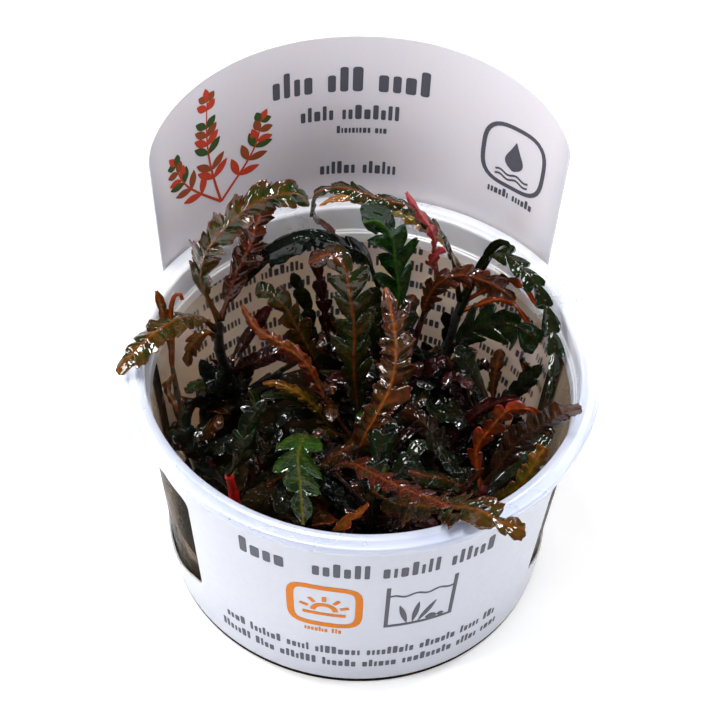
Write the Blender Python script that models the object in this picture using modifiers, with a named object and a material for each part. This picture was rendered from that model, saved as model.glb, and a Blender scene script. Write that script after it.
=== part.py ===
"""A tissue-culture cup of red and green pinnatifid stem plants.

The thin clear cup stands on its flat base, its axis on +Z, with the origin at
the middle of the base. A printed sleeve wraps the wall. Its front faces -Y and
its tall header stands up behind the rim at +Y. Stems root in a bed of nutrient
gel, and each leaf grows from a stem. Lengths in the tables are millimetres.
"""

import bmesh
import bpy
from math import cos, pi, radians, sin, tan
from mathutils import Matrix, Vector

MM = 0.001
GAP = 0.3

# Cup
RIM_RADIUS = 48.0
RIM_HEIGHT = 56.8
RIM_LIP = 2.0
FLANGE_THICKNESS = 1.0
WALL_THICKNESS = 1.2
WALL_BASE_RADIUS = 40.3
WALL_TAPER = 0.08
FLOOR_HEIGHT = 1.6
FOOT_RADIUS = 39.0
FOOT_HEIGHT = 2.0
MOUTH_LEDGE_HEIGHT = 50.0
MOUTH_RADIUS = 44.0
MOUTH_STEP = 1.2
MOUTH_FLARE = 0.5
MOUTH_TAPER = 0.2
FLOOR_FILLET = 1.8
LIP_THICKNESS = 0.8
LIP_BEVEL = 0.4
TURN_STEPS = 48
MERGE_DISTANCE_M = 0.00001

# Sleeve
SLEEVE_THICKNESS = 0.4
SLEEVE_FOOT = 1.0
BAND_TOP = 53.0
BAND_MIDDLE = 30.0
HEADER_SHOULDER = 57.8
WINDOW_FRONT = 54.0
WINDOW_BACK = 100.0
WINDOW_TOP = 45.0
WINDOW_SILL_FRONT = 14.4
WINDOW_SILL_BACK = 8.0
SILL_RUN = 20.0
HEADER_TURN = -1.2
HEADER_HALF = 57.2
HEADER_TOP = 97.9
HEADER_CORNER_DROP = 14.0
HEADER_CORNER_POWER = 2.4
HEADER_LEAN = 3.0
HEADER_CLEARANCE = 0.35
FLARE_START = 8.0
FLARE_FADE = 23.0
COLUMN_STEP = 8.0
HEADER_COLUMNS = 18
BAND_ROWS = 4
WINDOW_ROWS = (1, 2)

# Gel
GEL_TOP = 11.0
GEL_MARGIN = 0.4
GEL_FILLET = 2.0
SOCKET_DEPTH = 5.5
SOCKET_SIDES = 6

# Leaves
MIDRIB_THICKNESS = 0.9
STALK_WIDTH = 1.1
STALK_SHARE = 0.14
TIP_WIDTH = 0.7
BLADE_SKEW = 0.85
BLADE_FULLNESS = 0.45
LOBE_SWEEP = 0.8
NOTCH_SWEEP = -0.4
CURVE_STEPS = 20
PATH_SAMPLES = 60
STEM_PIECES = 6
SHARP_ANGLE = 40.0

TINTS = {
    "dark_green": (0.018, 0.045, 0.022),
    "green": (0.06, 0.17, 0.03),
    "olive": (0.16, 0.16, 0.03),
    "bronze": (0.13, 0.07, 0.03),
    "red_brown": (0.16, 0.035, 0.02),
    "orange": (0.42, 0.11, 0.03),
}

TOWARDS_FRONT = (0.0, -0.67, 0.74)
UPWARDS = (0.0, -0.1, 1.0)

# Each stem: radius, then its route from the gel upwards.
STEMS = {
    "stem_left": (1.4, [(-24, 24, 5.8), (-24, 24, 12), (-27, 22, 26), (-29, 20, 38), (-29, 18, 50)]),
    "stem_left_front": (1.2, [(-26, -6, 5.8), (-26, -6, 12), (-27, -7, 22), (-28, -9, 32)]),
    "stem_left_edge": (0.8, [(-34, 2, 5.8), (-34, 2, 12), (-37, 5, 30), (-39, 9, 47)]),
    "stem_middle": (1.3, [(1, 9, 5.8), (1, 9, 12), (1, 8, 23)]),
    "stem_back": (1.0, [(3, 27, 5.8), (3, 27, 12), (6, 30, 28), (6, 31, 45)]),
    "stem_back_left": (0.8, [(-4, 21, 5.8), (-4, 21, 12), (-5, 23, 24), (-5, 24, 33)]),
    "stem_upright": (0.9, [(7, 18, 5.8), (7, 18, 12), (8, 20, 28), (8, 20, 45)]),
    "stem_back_right": (0.8, [(13, 29, 5.8), (13, 29, 12), (15, 30, 30), (18, 28, 48), (17, 27, 58)]),
    "stem_right_back": (1.2, [(18, 21, 5.8), (18, 21, 12), (21, 25, 26), (23, 27, 38), (25, 29, 46)]),
    "stem_right": (0.9, [(28, 8, 5.8), (28, 8, 14), (30, 10, 21), (30, 11, 29)]),
    "stem_right_front": (1.1, [(22, -14, 5.8), (22, -14, 14), (24, -15, 24), (25, -15, 33)]),
    "stem_right_middle": (1.2, [(18, 0, 5.8), (18, 0, 12), (18, -2, 21)]),
    "stem_front": (1.1, [(2, -15, 5.8), (2, -15, 12), (1, -16, 24), (1, -16, 33)]),
    "stem_middle_front": (0.9, [(0, -4, 5.8), (0, -4, 12), (-1, -4, 26)]),
    "stem_front_left": (1.0, [(-14, -4, 5.8), (-14, -4, 12), (-12, -4, 24), (-11, -4, 36)]),
}


def leaf(name, stem, height, route, width, lobes=6, depth=0.55, face=TOWARDS_FRONT, twist=0.0,
         fold=-0.25, tint="dark_green"):
    """One leaf: the stem and height it grows at, its midrib, and its blade's half width."""
    return {"name": name, "stem": stem, "height": height, "route": route, "width": width,
            "lobes": lobes, "depth": depth, "face": face, "twist": twist, "fold": fold, "tint": tint}


LEAVES = [
    leaf("leaf_left_crest", "stem_left", 50, [(-32, 19, 60), (-31, 18, 69), (-27, 18, 76), (-22, 19, 81),
         (-16, 20, 83), (-12, 21, 82), (-10, 21, 79)], 2.3, lobes=9, tint="bronze"),
    leaf("leaf_left_inner", "stem_left", 49, [(-25, 22, 59), (-22, 23, 66), (-20, 25, 72), (-17, 26, 76)],
         3.4, lobes=6, tint="red_brown"),
    leaf("leaf_over_left_rim", "stem_left", 47, [(-33, 16, 53), (-37, 10, 59), (-41, 4, 62), (-45, -1, 62),
         (-49, -4, 59)], 2.8, lobes=6, depth=0.4, face=UPWARDS, tint="olive"),
    leaf("leaf_left_upright", "stem_left_edge", 47, [(-39, 11, 53), (-40, 12, 59), (-41, 12, 65)],
         1.4, lobes=3, depth=0.3, tint="orange"),
    leaf("leaf_left_hanging", "stem_left", 44, [(-32, 18, 46), (-35, 16, 44), (-36, 16, 38)],
         1.9, lobes=3, depth=0.4, tint="orange"),
    leaf("leaf_back_strap", "stem_back", 45, [(4, 30, 52), (2, 28, 58), (-3, 26, 63), (-8, 25, 66),
         (-13, 24, 66), (-19, 23, 63), (-22, 24, 58), (-24, 25, 53)], 2.8, lobes=4, depth=0.12),
    leaf("leaf_back_red", "stem_back_left", 33, [(-6, 25, 42), (-7, 26, 51), (-8, 27, 58)],
         1.9, lobes=4, depth=0.5, tint="red_brown"),
    leaf("leaf_back_green", "stem_back_left", 30, [(-9, 25, 38), (-10, 26, 46), (-13, 27, 54)],
         2.2, lobes=4, depth=0.5),
    leaf("leaf_left_middle", "stem_back_left", 24, [(-8, 20, 33), (-12, 19, 44), (-15, 19, 52),
         (-19, 20, 56), (-21, 21, 54)], 3.4, lobes=6, depth=0.4, tint="bronze"),
    leaf("leaf_orange_ribbon", "stem_middle", 18, [(-4, 12, 24), (-8, 13, 33), (-11, 13, 41), (-16, 14, 46),
         (-21, 15, 50), (-24, 17, 55)], 1.7, lobes=7, depth=0.35, tint="orange"),
    leaf("leaf_yellow_arc", "stem_middle", 15, [(-5, 9, 22), (-9, 9, 31), (-13, 9, 36), (-17, 10, 38),
         (-20, 11, 37)], 1.5, lobes=5, depth=0.3, tint="olive"),
    leaf("leaf_tall_middle", "stem_middle", 23, [(0, 8, 33), (-1, 8, 44), (-1, 10, 54), (-2, 12, 62),
         (-3, 15, 67), (-6, 18, 68), (-10, 20, 64)], 4.4, lobes=10, depth=0.45, tint="dark_green"),
    leaf("leaf_bright_upright", "stem_upright", 45, [(9, 20, 54), (8, 20, 62), (7, 20, 70), (4, 20, 75),
         (1, 21, 74)], 3.8, lobes=5, depth=0.5, tint="green"),
    leaf("leaf_middle_blade", "stem_upright", 34, [(5, 22, 42), (4, 24, 52)], 2.3, lobes=3, depth=0.1),
    leaf("leaf_bronze_wavy", "stem_middle_front", 26, [(0, -4, 34), (3, -3, 42), (6, 0, 48), (7, 3, 55),
         (6, 7, 62), (5, 10, 66)], 2.9, lobes=9, depth=0.4, twist=50, tint="bronze"),
    leaf("leaf_brown_arc", "stem_right_middle", 21, [(17, -4, 30), (15, -3, 35), (12, -1, 38), (9, 1, 38)],
         2.2, lobes=5, depth=0.3, tint="bronze"),
    leaf("leaf_high_arch", "stem_right_back", 43, [(21, 28, 57), (18, 27, 65), (11, 26, 73), (4, 26, 76),
         (-3, 27, 78), (-8, 28, 76), (-9, 29, 70), (-7, 31, 65), (-4, 31, 62)], 1.7, lobes=12, depth=0.5,
         face=UPWARDS, tint="dark_green"),
    leaf("leaf_under_arch", "stem_right_back", 46, [(23, 30, 52), (18, 30, 61), (13, 30, 66), (5, 30, 70),
         (-2, 31, 72), (-7, 32, 69)], 1.6, lobes=10, depth=0.5, face=UPWARDS, tint="olive"),
    leaf("leaf_pink_shoot", "stem_back_right", 58, [(16, 24, 67), (13, 24, 73), (10, 25, 78)],
         1.2, lobes=4, depth=0.5, tint="red_brown"),
    leaf("leaf_over_right", "stem_right_back", 40, [(28, 28, 54), (31, 24, 61), (35, 17, 62), (38, 13, 59),
         (40, 8, 54), (40, 2, 49), (39, -2, 43)], 2.3, lobes=10, depth=0.5, face=(-0.3, -0.5, 0.8)),
    leaf("leaf_red_arch", "stem_back_right", 36, [(16, 24, 48), (18, 22, 55), (22, 21, 58), (27, 20, 57),
         (31, 20, 54), (34, 20, 51)], 2.2, lobes=8, depth=0.4, tint="red_brown"),
    leaf("leaf_pink_small", "stem_back_right", 54, [(16, 24, 59), (18, 22, 65)], 1.3, lobes=3,
         tint="red_brown"),
    leaf("leaf_right_lobed", "stem_right_back", 30, [(26, 20, 42), (30, 16, 48), (34, 13, 50), (38, 10, 48)],
         3.4, lobes=5, depth=0.6),
    leaf("leaf_right_bronze", "stem_right", 28, [(30, 12, 35), (31, 14, 42)], 1.8, lobes=4, depth=0.4,
         tint="bronze"),
    leaf("leaf_right_green", "stem_right", 24, [(34, 10, 32), (37, 9, 38), (39, 9, 42)], 2.4, lobes=4,
         depth=0.3),
    leaf("leaf_over_right_rim", "stem_right_front", 33, [(28, -17, 44), (30, -19, 52), (34, -21, 59),
         (37, -22, 63), (40, -22, 64)], 2.3, lobes=7, depth=0.3, tint="bronze"),
    leaf("leaf_orange_lobed", "stem_right_front", 30, [(23, -12, 40), (25, -13, 48), (28, -14, 55),
         (32, -16, 57), (34, -17, 54)], 2.1, lobes=6, depth=0.6, tint="orange"),
    leaf("leaf_dark_right", "stem_right_middle", 20, [(21, 0, 31), (24, -1, 38), (28, -1, 42), (33, -1, 43)],
         2.2, lobes=5, depth=0.35, tint="red_brown"),
    leaf("leaf_yellow_right", "stem_right_front", 26, [(31, -18, 35), (33, -19, 42), (35, -19, 49)],
         2.3, lobes=4, depth=0.35, tint="olive"),
    leaf("leaf_small_right", "stem_right_front", 20, [(19, -18, 29), (20, -19, 36), (23, -19, 43)],
         1.8, lobes=4, depth=0.45, tint="red_brown"),
    leaf("leaf_front_red", "stem_front", 28, [(-6, -11, 34), (-3, -14, 40), (1, -21, 45), (5, -29, 51),
         (9, -37, 58), (12, -44, 64)], 2.4, face=UPWARDS, lobes=9, depth=0.4, tint="red_brown"),
    leaf("leaf_front_rim", "stem_front", 33, [(5, -24, 39), (10, -31, 47), (14, -38, 56), (18, -43, 61),
         (22, -46, 61), (26, -47, 60)], 4.0, lobes=8, depth=0.6, face=UPWARDS, fold=-0.1, tint="bronze"),
    leaf("leaf_bright_front", "stem_front_left", 36, [(-12, -9, 43), (-14, -18, 48), (-14, -27, 50),
         (-14, -37, 51)], 3.8, lobes=5, depth=0.6, tint="green"),
    leaf("leaf_front_small", "stem_front", 18, [(-5, -24, 28), (-8, -30, 38), (-5, -31, 43), (-1, -31, 48)],
         1.3, lobes=5, depth=0.3, tint="orange"),
    leaf("leaf_front_shoot", "stem_front_left", 20, [(-10, -14, 26), (-10, -27, 37), (-12, -32, 46)],
         1.3, lobes=5, depth=0.4, tint="orange"),
    leaf("leaf_left_lobed", "stem_left_front", 32, [(-25, -10, 39), (-24, -7, 44), (-20, -5, 50)],
         2.3, lobes=4, depth=0.5),
    leaf("leaf_left_blade", "stem_left", 24, [(-28, 12, 35), (-31, 11, 41), (-33, 11, 45)],
         2.7, lobes=3, depth=0.1),
    leaf("leaf_left_dark", "stem_left", 17, [(-28, 16, 22), (-31, 12, 29), (-35, 8, 36)],
         2.4, lobes=3, depth=0.1),
    leaf("leaf_back_maroon", "stem_left", 30, [(-22, 17, 37), (-17, 17, 40), (-12, 16, 39)], 2.2, lobes=3,
         depth=0.1, tint="red_brown"),
    leaf("leaf_left_low", "stem_left_front", 24, [(-32, -5, 30), (-36, -5, 38), (-36, -3, 45)],
         2.4, lobes=4, depth=0.45),
    leaf("leaf_left_wide", "stem_left_front", 20, [(-22, -4, 25), (-20, -3, 31), (-20, -2, 38)],
         2.9, lobes=4, depth=0.45, tint="green"),
    leaf("leaf_left_tip", "stem_left_front", 28, [(-23, 0, 36), (-22, 1, 42), (-23, 1, 47)],
         1.6, lobes=2, depth=0.1, tint="green"),
]

# Young leaves that are still one with their stems, low in the tangle.
YOUNG_LEAVES = [
    leaf("young_a", "stem_left", 18, [(-19, 20, 22), (-15, 17, 27)], 1.9, lobes=2, depth=0.3),
    leaf("young_b", "stem_left_front", 14, [(-20, -11, 17), (-15, -15, 22)], 1.9, lobes=2, depth=0.3),
    leaf("young_c", "stem_left_edge", 44, [(-40, 3, 46), (-38, 0, 42)], 1.0, lobes=2, depth=0.3),
    leaf("young_d", "stem_middle", 14, [(6, 5, 18), (10, 3, 24)], 2.0, lobes=2, depth=0.3),
    leaf("young_e", "stem_back", 22, [(-1, 33, 26), (-5, 35, 33)], 1.8, lobes=2, depth=0.3),
    leaf("young_f", "stem_upright", 22, [(13, 15, 26), (16, 11, 32)], 2.0, lobes=2, depth=0.3),
    leaf("young_g", "stem_right_back", 18, [(24, 18, 20), (29, 16, 24)], 1.9, lobes=2, depth=0.3),
    leaf("young_h", "stem_right", 14, [(33, 4, 17), (35, -1, 23)], 1.8, lobes=2, depth=0.3),
    leaf("young_i", "stem_right_front", 15, [(16, -19, 18), (12, -23, 24)], 2.0, lobes=2, depth=0.3),
    leaf("young_j", "stem_front", 14, [(6, -21, 16), (9, -28, 21)], 2.0, lobes=2, depth=0.3),
    leaf("young_k", "stem_front_left", 16, [(-12, -12, 19), (-11, -19, 25)], 1.9, lobes=2, depth=0.3),
    leaf("young_l", "stem_right_middle", 15, [(14, 3, 19), (11, 5, 24)], 1.6, lobes=2, depth=0.3),
    leaf("young_m", "stem_left_front", 18, [(-32, -12, 22), (-35, -15, 27)], 1.8, lobes=2, depth=0.3),
    leaf("young_n", "stem_front", 22, [(7, -18, 26), (12, -20, 31)], 1.9, lobes=2, depth=0.3),
    leaf("young_o", "stem_front_left", 26, [(-17, -9, 30), (-20, -14, 34)], 1.9, lobes=2, depth=0.3),
    leaf("young_p", "stem_middle_front", 15, [(-5, -9, 18), (-8, -15, 22)], 1.8, lobes=2, depth=0.3),
    leaf("young_q", "stem_back_right", 22, [(9, 33, 26), (4, 36, 32)], 1.6, lobes=2, depth=0.3),
    leaf("young_r", "stem_left", 30, [(-23, 27, 34), (-18, 31, 40)], 1.7, lobes=2, depth=0.3),
    leaf("young_s", "stem_right_front", 15, [(27, -22, 19), (27, -29, 25)], 1.8, lobes=2, depth=0.3),
    leaf("young_t", "stem_right_middle", 13, [(23, -5, 16), (29, -8, 20)], 1.6, lobes=2, depth=0.3),
]


def clear_scene():
    for item in list(bpy.data.objects):
        bpy.data.objects.remove(item, do_unlink=True)


def new_collection(name):
    collection = bpy.data.collections.new(name)
    bpy.context.scene.collection.children.link(collection)
    return collection


def plain_material(name, color, roughness, alpha=1.0):
    material = bpy.data.materials.new(name)
    material.use_nodes = True
    shader = material.node_tree.nodes["Principled BSDF"]
    shader.inputs["Base Color"].default_value = (*color, 1.0)
    shader.inputs["Roughness"].default_value = roughness
    shader.inputs["Metallic"].default_value = 0.0
    shader.inputs["Alpha"].default_value = alpha
    return material


def add_object(name, data, collection, material):
    item = bpy.data.objects.new(name, data)
    data.materials.append(material)
    collection.objects.link(item)
    return item


def mesh_from_bmesh(name, bm, smooth=True):
    bmesh.ops.recalc_face_normals(bm, faces=bm.faces)
    mesh = bpy.data.meshes.new(name)
    bm.to_mesh(mesh)
    bm.free()
    if smooth:
        mesh.shade_smooth()
        mesh.set_sharp_from_angle(angle=radians(SHARP_ANGLE))
    return mesh


def hide_cutter(item):
    item.hide_render = True
    item.display_type = "WIRE"


# Turned pieces

def turned(name, profile, collection, material):
    """Turn a profile of (radius, height) points about +Z with a Screw modifier."""
    bm = bmesh.new()
    corners = [bm.verts.new((radius * MM, 0.0, height * MM)) for radius, height in profile]
    for start, end in zip(corners, corners[1:]):
        bm.edges.new((start, end))
    mesh = bpy.data.meshes.new(name)
    bm.to_mesh(mesh)
    bm.free()
    item = add_object(name, mesh, collection, material)
    screw = item.modifiers.new("turn", "SCREW")
    screw.steps = TURN_STEPS
    screw.render_steps = TURN_STEPS
    screw.use_merge_vertices = True
    screw.merge_threshold = MERGE_DISTANCE_M
    screw.use_smooth_shade = True
    return item


def wall_outside(height):
    return WALL_BASE_RADIUS + WALL_TAPER * height


def wall_inside(height):
    return wall_outside(height) - WALL_THICKNESS


def make_cup(collection, material):
    """Turn the cup: flat foot, tapered wall, a ledge below the mouth and a flange with a lip."""
    underside = RIM_HEIGHT - FLANGE_THICKNESS
    profile = [
        (0.0, FLOOR_HEIGHT),
        (wall_inside(FLOOR_HEIGHT) - FLOOR_FILLET, FLOOR_HEIGHT),
        (wall_inside(FLOOR_HEIGHT + FLOOR_FILLET), FLOOR_HEIGHT + FLOOR_FILLET),
        (wall_inside(MOUTH_LEDGE_HEIGHT), MOUTH_LEDGE_HEIGHT),
        (MOUTH_RADIUS - MOUTH_TAPER, MOUTH_LEDGE_HEIGHT + MOUTH_STEP),
        (MOUTH_RADIUS, RIM_HEIGHT - LIP_THICKNESS),
        (MOUTH_RADIUS + MOUTH_FLARE, RIM_HEIGHT),
        (RIM_RADIUS - LIP_BEVEL, RIM_HEIGHT),
        (RIM_RADIUS, RIM_HEIGHT - LIP_BEVEL),
        (RIM_RADIUS, RIM_HEIGHT - RIM_LIP),
        (RIM_RADIUS - LIP_THICKNESS, RIM_HEIGHT - RIM_LIP),
        (RIM_RADIUS - LIP_THICKNESS, underside),
        (wall_outside(underside), underside),
        (wall_outside(FOOT_HEIGHT), FOOT_HEIGHT),
        (FOOT_RADIUS, 0.0),
        (0.0, 0.0),
    ]
    return turned("cup", profile, collection, material)


# Sleeve

def smooth_step(value):
    value = min(max(value, 0.0), 1.0)
    return value * value * (3.0 - 2.0 * value)


def spread(start, end, step):
    """Angles from start up to, but not including, end in near-equal steps."""
    count = max(1, round(abs(end - start) / step))
    return [start + (end - start) * index / count for index in range(count)]


def sleeve_columns():
    """Angles round from the front, in degrees, with one on each cut edge and more at the header's corners."""
    middle = 180.0 + HEADER_TURN
    columns = spread(-WINDOW_FRONT, WINDOW_FRONT, COLUMN_STEP)
    columns += spread(WINDOW_FRONT, WINDOW_BACK, COLUMN_STEP)
    columns += spread(WINDOW_BACK, middle - HEADER_HALF, COLUMN_STEP)
    for index in range(HEADER_COLUMNS):
        columns.append(middle - HEADER_HALF * cos(pi * index / HEADER_COLUMNS))
    columns += spread(middle + HEADER_HALF, 360.0 - WINDOW_BACK, COLUMN_STEP)
    columns += spread(360.0 - WINDOW_BACK, 360.0 - WINDOW_FRONT, COLUMN_STEP)
    return columns


def angle_from_front(angle):
    return abs((angle + 180.0) % 360.0 - 180.0)


def angle_from_header(angle):
    return abs((angle - HEADER_TURN) % 360.0 - 180.0)


def sill_height(angle):
    drop = smooth_step((angle_from_front(angle) - WINDOW_FRONT) / SILL_RUN)
    return WINDOW_SILL_FRONT - (WINDOW_SILL_FRONT - WINDOW_SILL_BACK) * drop


def header_height(angle):
    """The header's top edge: level in the middle and rounded off at its corners."""
    across = min(angle_from_header(angle) / HEADER_HALF, 1.0)
    round_off = 1.0 - (1.0 - across ** HEADER_CORNER_POWER) ** (1.0 / HEADER_CORNER_POWER)
    return HEADER_TOP - HEADER_CORNER_DROP * round_off


def sleeve_rows(angle):
    """Heights of the grid's rows at an angle, the last three in the header alone."""
    top = header_height(angle)
    band = [SLEEVE_FOOT, sill_height(angle), BAND_MIDDLE, WINDOW_TOP, BAND_TOP]
    header = [HEADER_SHOULDER, (HEADER_SHOULDER + top) / 2.0, top]
    return band + header


def sleeve_radius(angle, height):
    """Inner face: close to the wall, flared at the back to pass outside the flange."""
    hugging = wall_outside(min(height, BAND_TOP)) + GAP
    standing = RIM_RADIUS + HEADER_CLEARANCE
    fade = 1.0 - smooth_step((angle_from_header(angle) - HEADER_HALF) / FLARE_FADE)
    rise = min(max((height - FLARE_START) / (BAND_TOP - FLARE_START), 0.0), 1.0)
    flared = hugging + (standing - hugging) * fade * rise
    return flared + tan(radians(HEADER_LEAN)) * max(0.0, height - BAND_TOP)


def make_sleeve(collection, material):
    """Wrap a grid round the cup, leave out the windows, and thicken it outwards."""
    bm = bmesh.new()
    columns = sleeve_columns()
    grid = []
    for angle in columns:
        in_header = angle_from_header(angle) <= HEADER_HALF + 0.01
        points = []
        for row, height in enumerate(sleeve_rows(angle)):
            if row > BAND_ROWS and not in_header:
                break
            radius = sleeve_radius(angle, height)
            turn = radians(angle)
            place = Vector((radius * sin(turn), -radius * cos(turn), height)) * MM
            points.append(bm.verts.new(place))
        grid.append(points)
    for index, angle in enumerate(columns):
        left = grid[index]
        right = grid[(index + 1) % len(columns)]
        following = columns[(index + 1) % len(columns)]
        middle = (angle + (following if following > angle else following + 360.0)) / 2.0
        in_window = WINDOW_FRONT < angle_from_front(middle) < WINDOW_BACK
        for row in range(min(len(left), len(right)) - 1):
            if in_window and row in WINDOW_ROWS:
                continue
            bm.faces.new((left[row], right[row], right[row + 1], left[row + 1]))
    item = add_object("sleeve", mesh_from_bmesh("sleeve", bm, smooth=False), collection, material)
    shell = item.modifiers.new("card", "SOLIDIFY")
    shell.thickness = SLEEVE_THICKNESS * MM
    shell.offset = 1.0
    shell.use_even_offset = True
    return item


# Stems and leaves

def catmull_point(before, start, end, after, t):
    """A point on the smooth curve between start and end."""
    return 0.5 * ((2.0 * start) + (end - before) * t
                  + (2.0 * before - 5.0 * start + 4.0 * end - after) * t * t
                  + (3.0 * start - before - 3.0 * end + after) * t * t * t)


def smooth_path(points, count):
    """Evenly spaced places along a smooth curve through the points."""
    spots = [Vector(point) for point in points]
    spots = [2.0 * spots[0] - spots[1]] + spots + [2.0 * spots[-1] - spots[-2]]
    fine = []
    for index in range(1, len(spots) - 2):
        for step in range(CURVE_STEPS):
            fine.append(catmull_point(*spots[index - 1:index + 3], step / CURVE_STEPS))
    fine.append(spots[-2])
    lengths = [0.0]
    for start, end in zip(fine, fine[1:]):
        lengths.append(lengths[-1] + (end - start).length)
    path = []
    place = 0
    for index in range(count + 1):
        target = lengths[-1] * index / count
        while place < len(fine) - 2 and lengths[place + 1] < target:
            place += 1
        share = (target - lengths[place]) / (lengths[place + 1] - lengths[place])
        path.append(fine[place].lerp(fine[place + 1], share))
    return path


def square_to(vector, tangent):
    return (vector - vector.dot(tangent) * tangent).normalized()


def leaf_frames(points, face, twist):
    """Places, tangents and upper-side normals along a leaf's midrib."""
    path = smooth_path(points, PATH_SAMPLES)
    tangents = [(path[min(index + 1, PATH_SAMPLES)] - path[max(index - 1, 0)]).normalized()
                for index in range(PATH_SAMPLES + 1)]
    middle = PATH_SAMPLES // 2
    normals = [None] * (PATH_SAMPLES + 1)
    normals[middle] = square_to(Vector(face), tangents[middle])
    for index in range(middle, PATH_SAMPLES):
        normals[index + 1] = square_to(normals[index], tangents[index + 1])
    for index in range(middle, 0, -1):
        normals[index - 1] = square_to(normals[index], tangents[index - 1])
    for index, tangent in enumerate(tangents):
        turn = radians(twist) * (index / PATH_SAMPLES - 0.5)
        normals[index] = Matrix.Rotation(turn, 3, tangent) @ normals[index]
    return path, tangents, normals


def stem_point(stem, height):
    """The place and direction of a stem's axis at a height, and whether that is its top."""
    path = smooth_path(STEMS[stem][1], PATH_SAMPLES)
    index = min(range(PATH_SAMPLES + 1), key=lambda number: abs(path[number].z - height))
    above = path[min(index + 1, PATH_SAMPLES)]
    below = path[max(index - 1, 0)]
    return path[index], (above - below).normalized(), index == PATH_SAMPLES


def blade_envelope(along):
    """Share of the full half width along the blade, widest a little before the middle."""
    skewed = along ** BLADE_SKEW
    return max(4.0 * skewed * (1.0 - skewed), 0.0) ** BLADE_FULLNESS


def leaf_stations(spec):
    """Shares of the leaf's length with half width and forward sweep at each."""
    stations = [(0.0, STALK_WIDTH / 2.0, 0.0), (STALK_SHARE, STALK_WIDTH / 2.0, 0.0)]
    count = 2 * spec["lobes"]
    for index in range(1, count):
        along = index / count
        reach = spec["width"] * blade_envelope(along)
        sweep = LOBE_SWEEP * spec["depth"] / count
        if index % 2 == 0:
            reach *= 1.0 - spec["depth"]
            sweep = NOTCH_SWEEP * spec["depth"] / count
        share = STALK_SHARE + (1.0 - STALK_SHARE) * along
        stations.append((share, max(reach, STALK_WIDTH / 2.0), sweep))
    stations.append((1.0, TIP_WIDTH / 2.0, 0.0))
    return stations


def leaf_route(spec, inside_stem):
    """The midrib's points, from the stem's axis or from just outside the stem."""
    base, direction, on_top = stem_point(spec["stem"], spec["height"])
    outward = Vector(spec["route"][0]) - base
    if on_top:
        base = base + outward.normalized() * (STEMS[spec["stem"]][0] + GAP)
    elif not inside_stem:
        base = base + square_to(outward, direction) * (STEMS[spec["stem"]][0] + GAP + STALK_WIDTH / 2.0)
    return [base] + [Vector(point) for point in spec["route"]]


def add_leaf_solid(bm, spec, inside_stem=False):
    """Loft one closed blade with a thick midrib, thin edges and forward-swept lobes."""
    path, tangents, normals = leaf_frames(leaf_route(spec, inside_stem), spec["face"], spec["twist"])
    length = sum((end - start).length for start, end in zip(path, path[1:]))
    rings = []
    for along, reach, sweep in leaf_stations(spec):
        index = round(along * PATH_SAMPLES)
        place, tangent, normal = path[index], tangents[index], normals[index]
        side = tangent.cross(normal)
        edge_shift = tangent * (sweep * length) + normal * (spec["fold"] * reach)
        corners = [place - side * reach + edge_shift,
                   place - normal * (MIDRIB_THICKNESS / 2.0),
                   place + side * reach + edge_shift,
                   place + normal * (MIDRIB_THICKNESS / 2.0)]
        rings.append([bm.verts.new(corner * MM) for corner in corners])
    for lower, upper in zip(rings, rings[1:]):
        for index in range(4):
            following = (index + 1) % 4
            bm.faces.new((lower[index], lower[following], upper[following], upper[index]))
    bm.faces.new(rings[0])
    bm.faces.new(rings[-1])


def make_leaf(spec, collection, material):
    bm = bmesh.new()
    add_leaf_solid(bm, spec)
    return add_object(spec["name"], mesh_from_bmesh(spec["name"], bm), collection, material)


def stem_curve(name, collection):
    radius, route = STEMS[name]
    path = smooth_path(route, STEM_PIECES)
    curve = bpy.data.curves.new(name, "CURVE")
    curve.dimensions = "3D"
    curve.bevel_depth = radius * MM
    curve.bevel_resolution = 1
    curve.use_fill_caps = True
    spline = curve.splines.new("POLY")
    spline.points.add(len(path) - 1)
    for point, place in zip(spline.points, path):
        point.co = (*(place * MM), 1.0)
    item = bpy.data.objects.new(name, curve)
    collection.objects.link(item)
    return item


def curve_to_solid(item, collection, material):
    """Replace a curve object with a closed mesh object of the same name."""
    name = item.name
    bpy.context.view_layer.update()
    evaluated = item.evaluated_get(bpy.context.evaluated_depsgraph_get())
    mesh = bpy.data.meshes.new_from_object(evaluated)
    placement = item.matrix_world.copy()
    bpy.data.objects.remove(item, do_unlink=True)
    bm = bmesh.new()
    bm.from_mesh(mesh)
    bmesh.ops.remove_doubles(bm, verts=bm.verts, dist=0.000001)
    bmesh.ops.recalc_face_normals(bm, faces=bm.faces)
    bm.to_mesh(mesh)
    bm.free()
    solid = add_object(name, mesh, collection, material)
    solid.matrix_world = placement
    return solid


def add_boolean(item, other, operation):
    cut = item.modifiers.new(other.name, "BOOLEAN")
    cut.operation = operation
    cut.solver = "EXACT"
    cut.object = other


def make_stem(name, collection, cutters, material):
    stem = curve_to_solid(stem_curve(name, collection), collection, material)
    young = [spec for spec in YOUNG_LEAVES if spec["stem"] == name]
    for spec in young:
        bm = bmesh.new()
        add_leaf_solid(bm, spec, inside_stem=True)
        shoot = add_object(name + "_" + spec["name"], mesh_from_bmesh(spec["name"], bm), cutters, material)
        hide_cutter(shoot)
        add_boolean(stem, shoot, "UNION")
    return stem


# Gel

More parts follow.
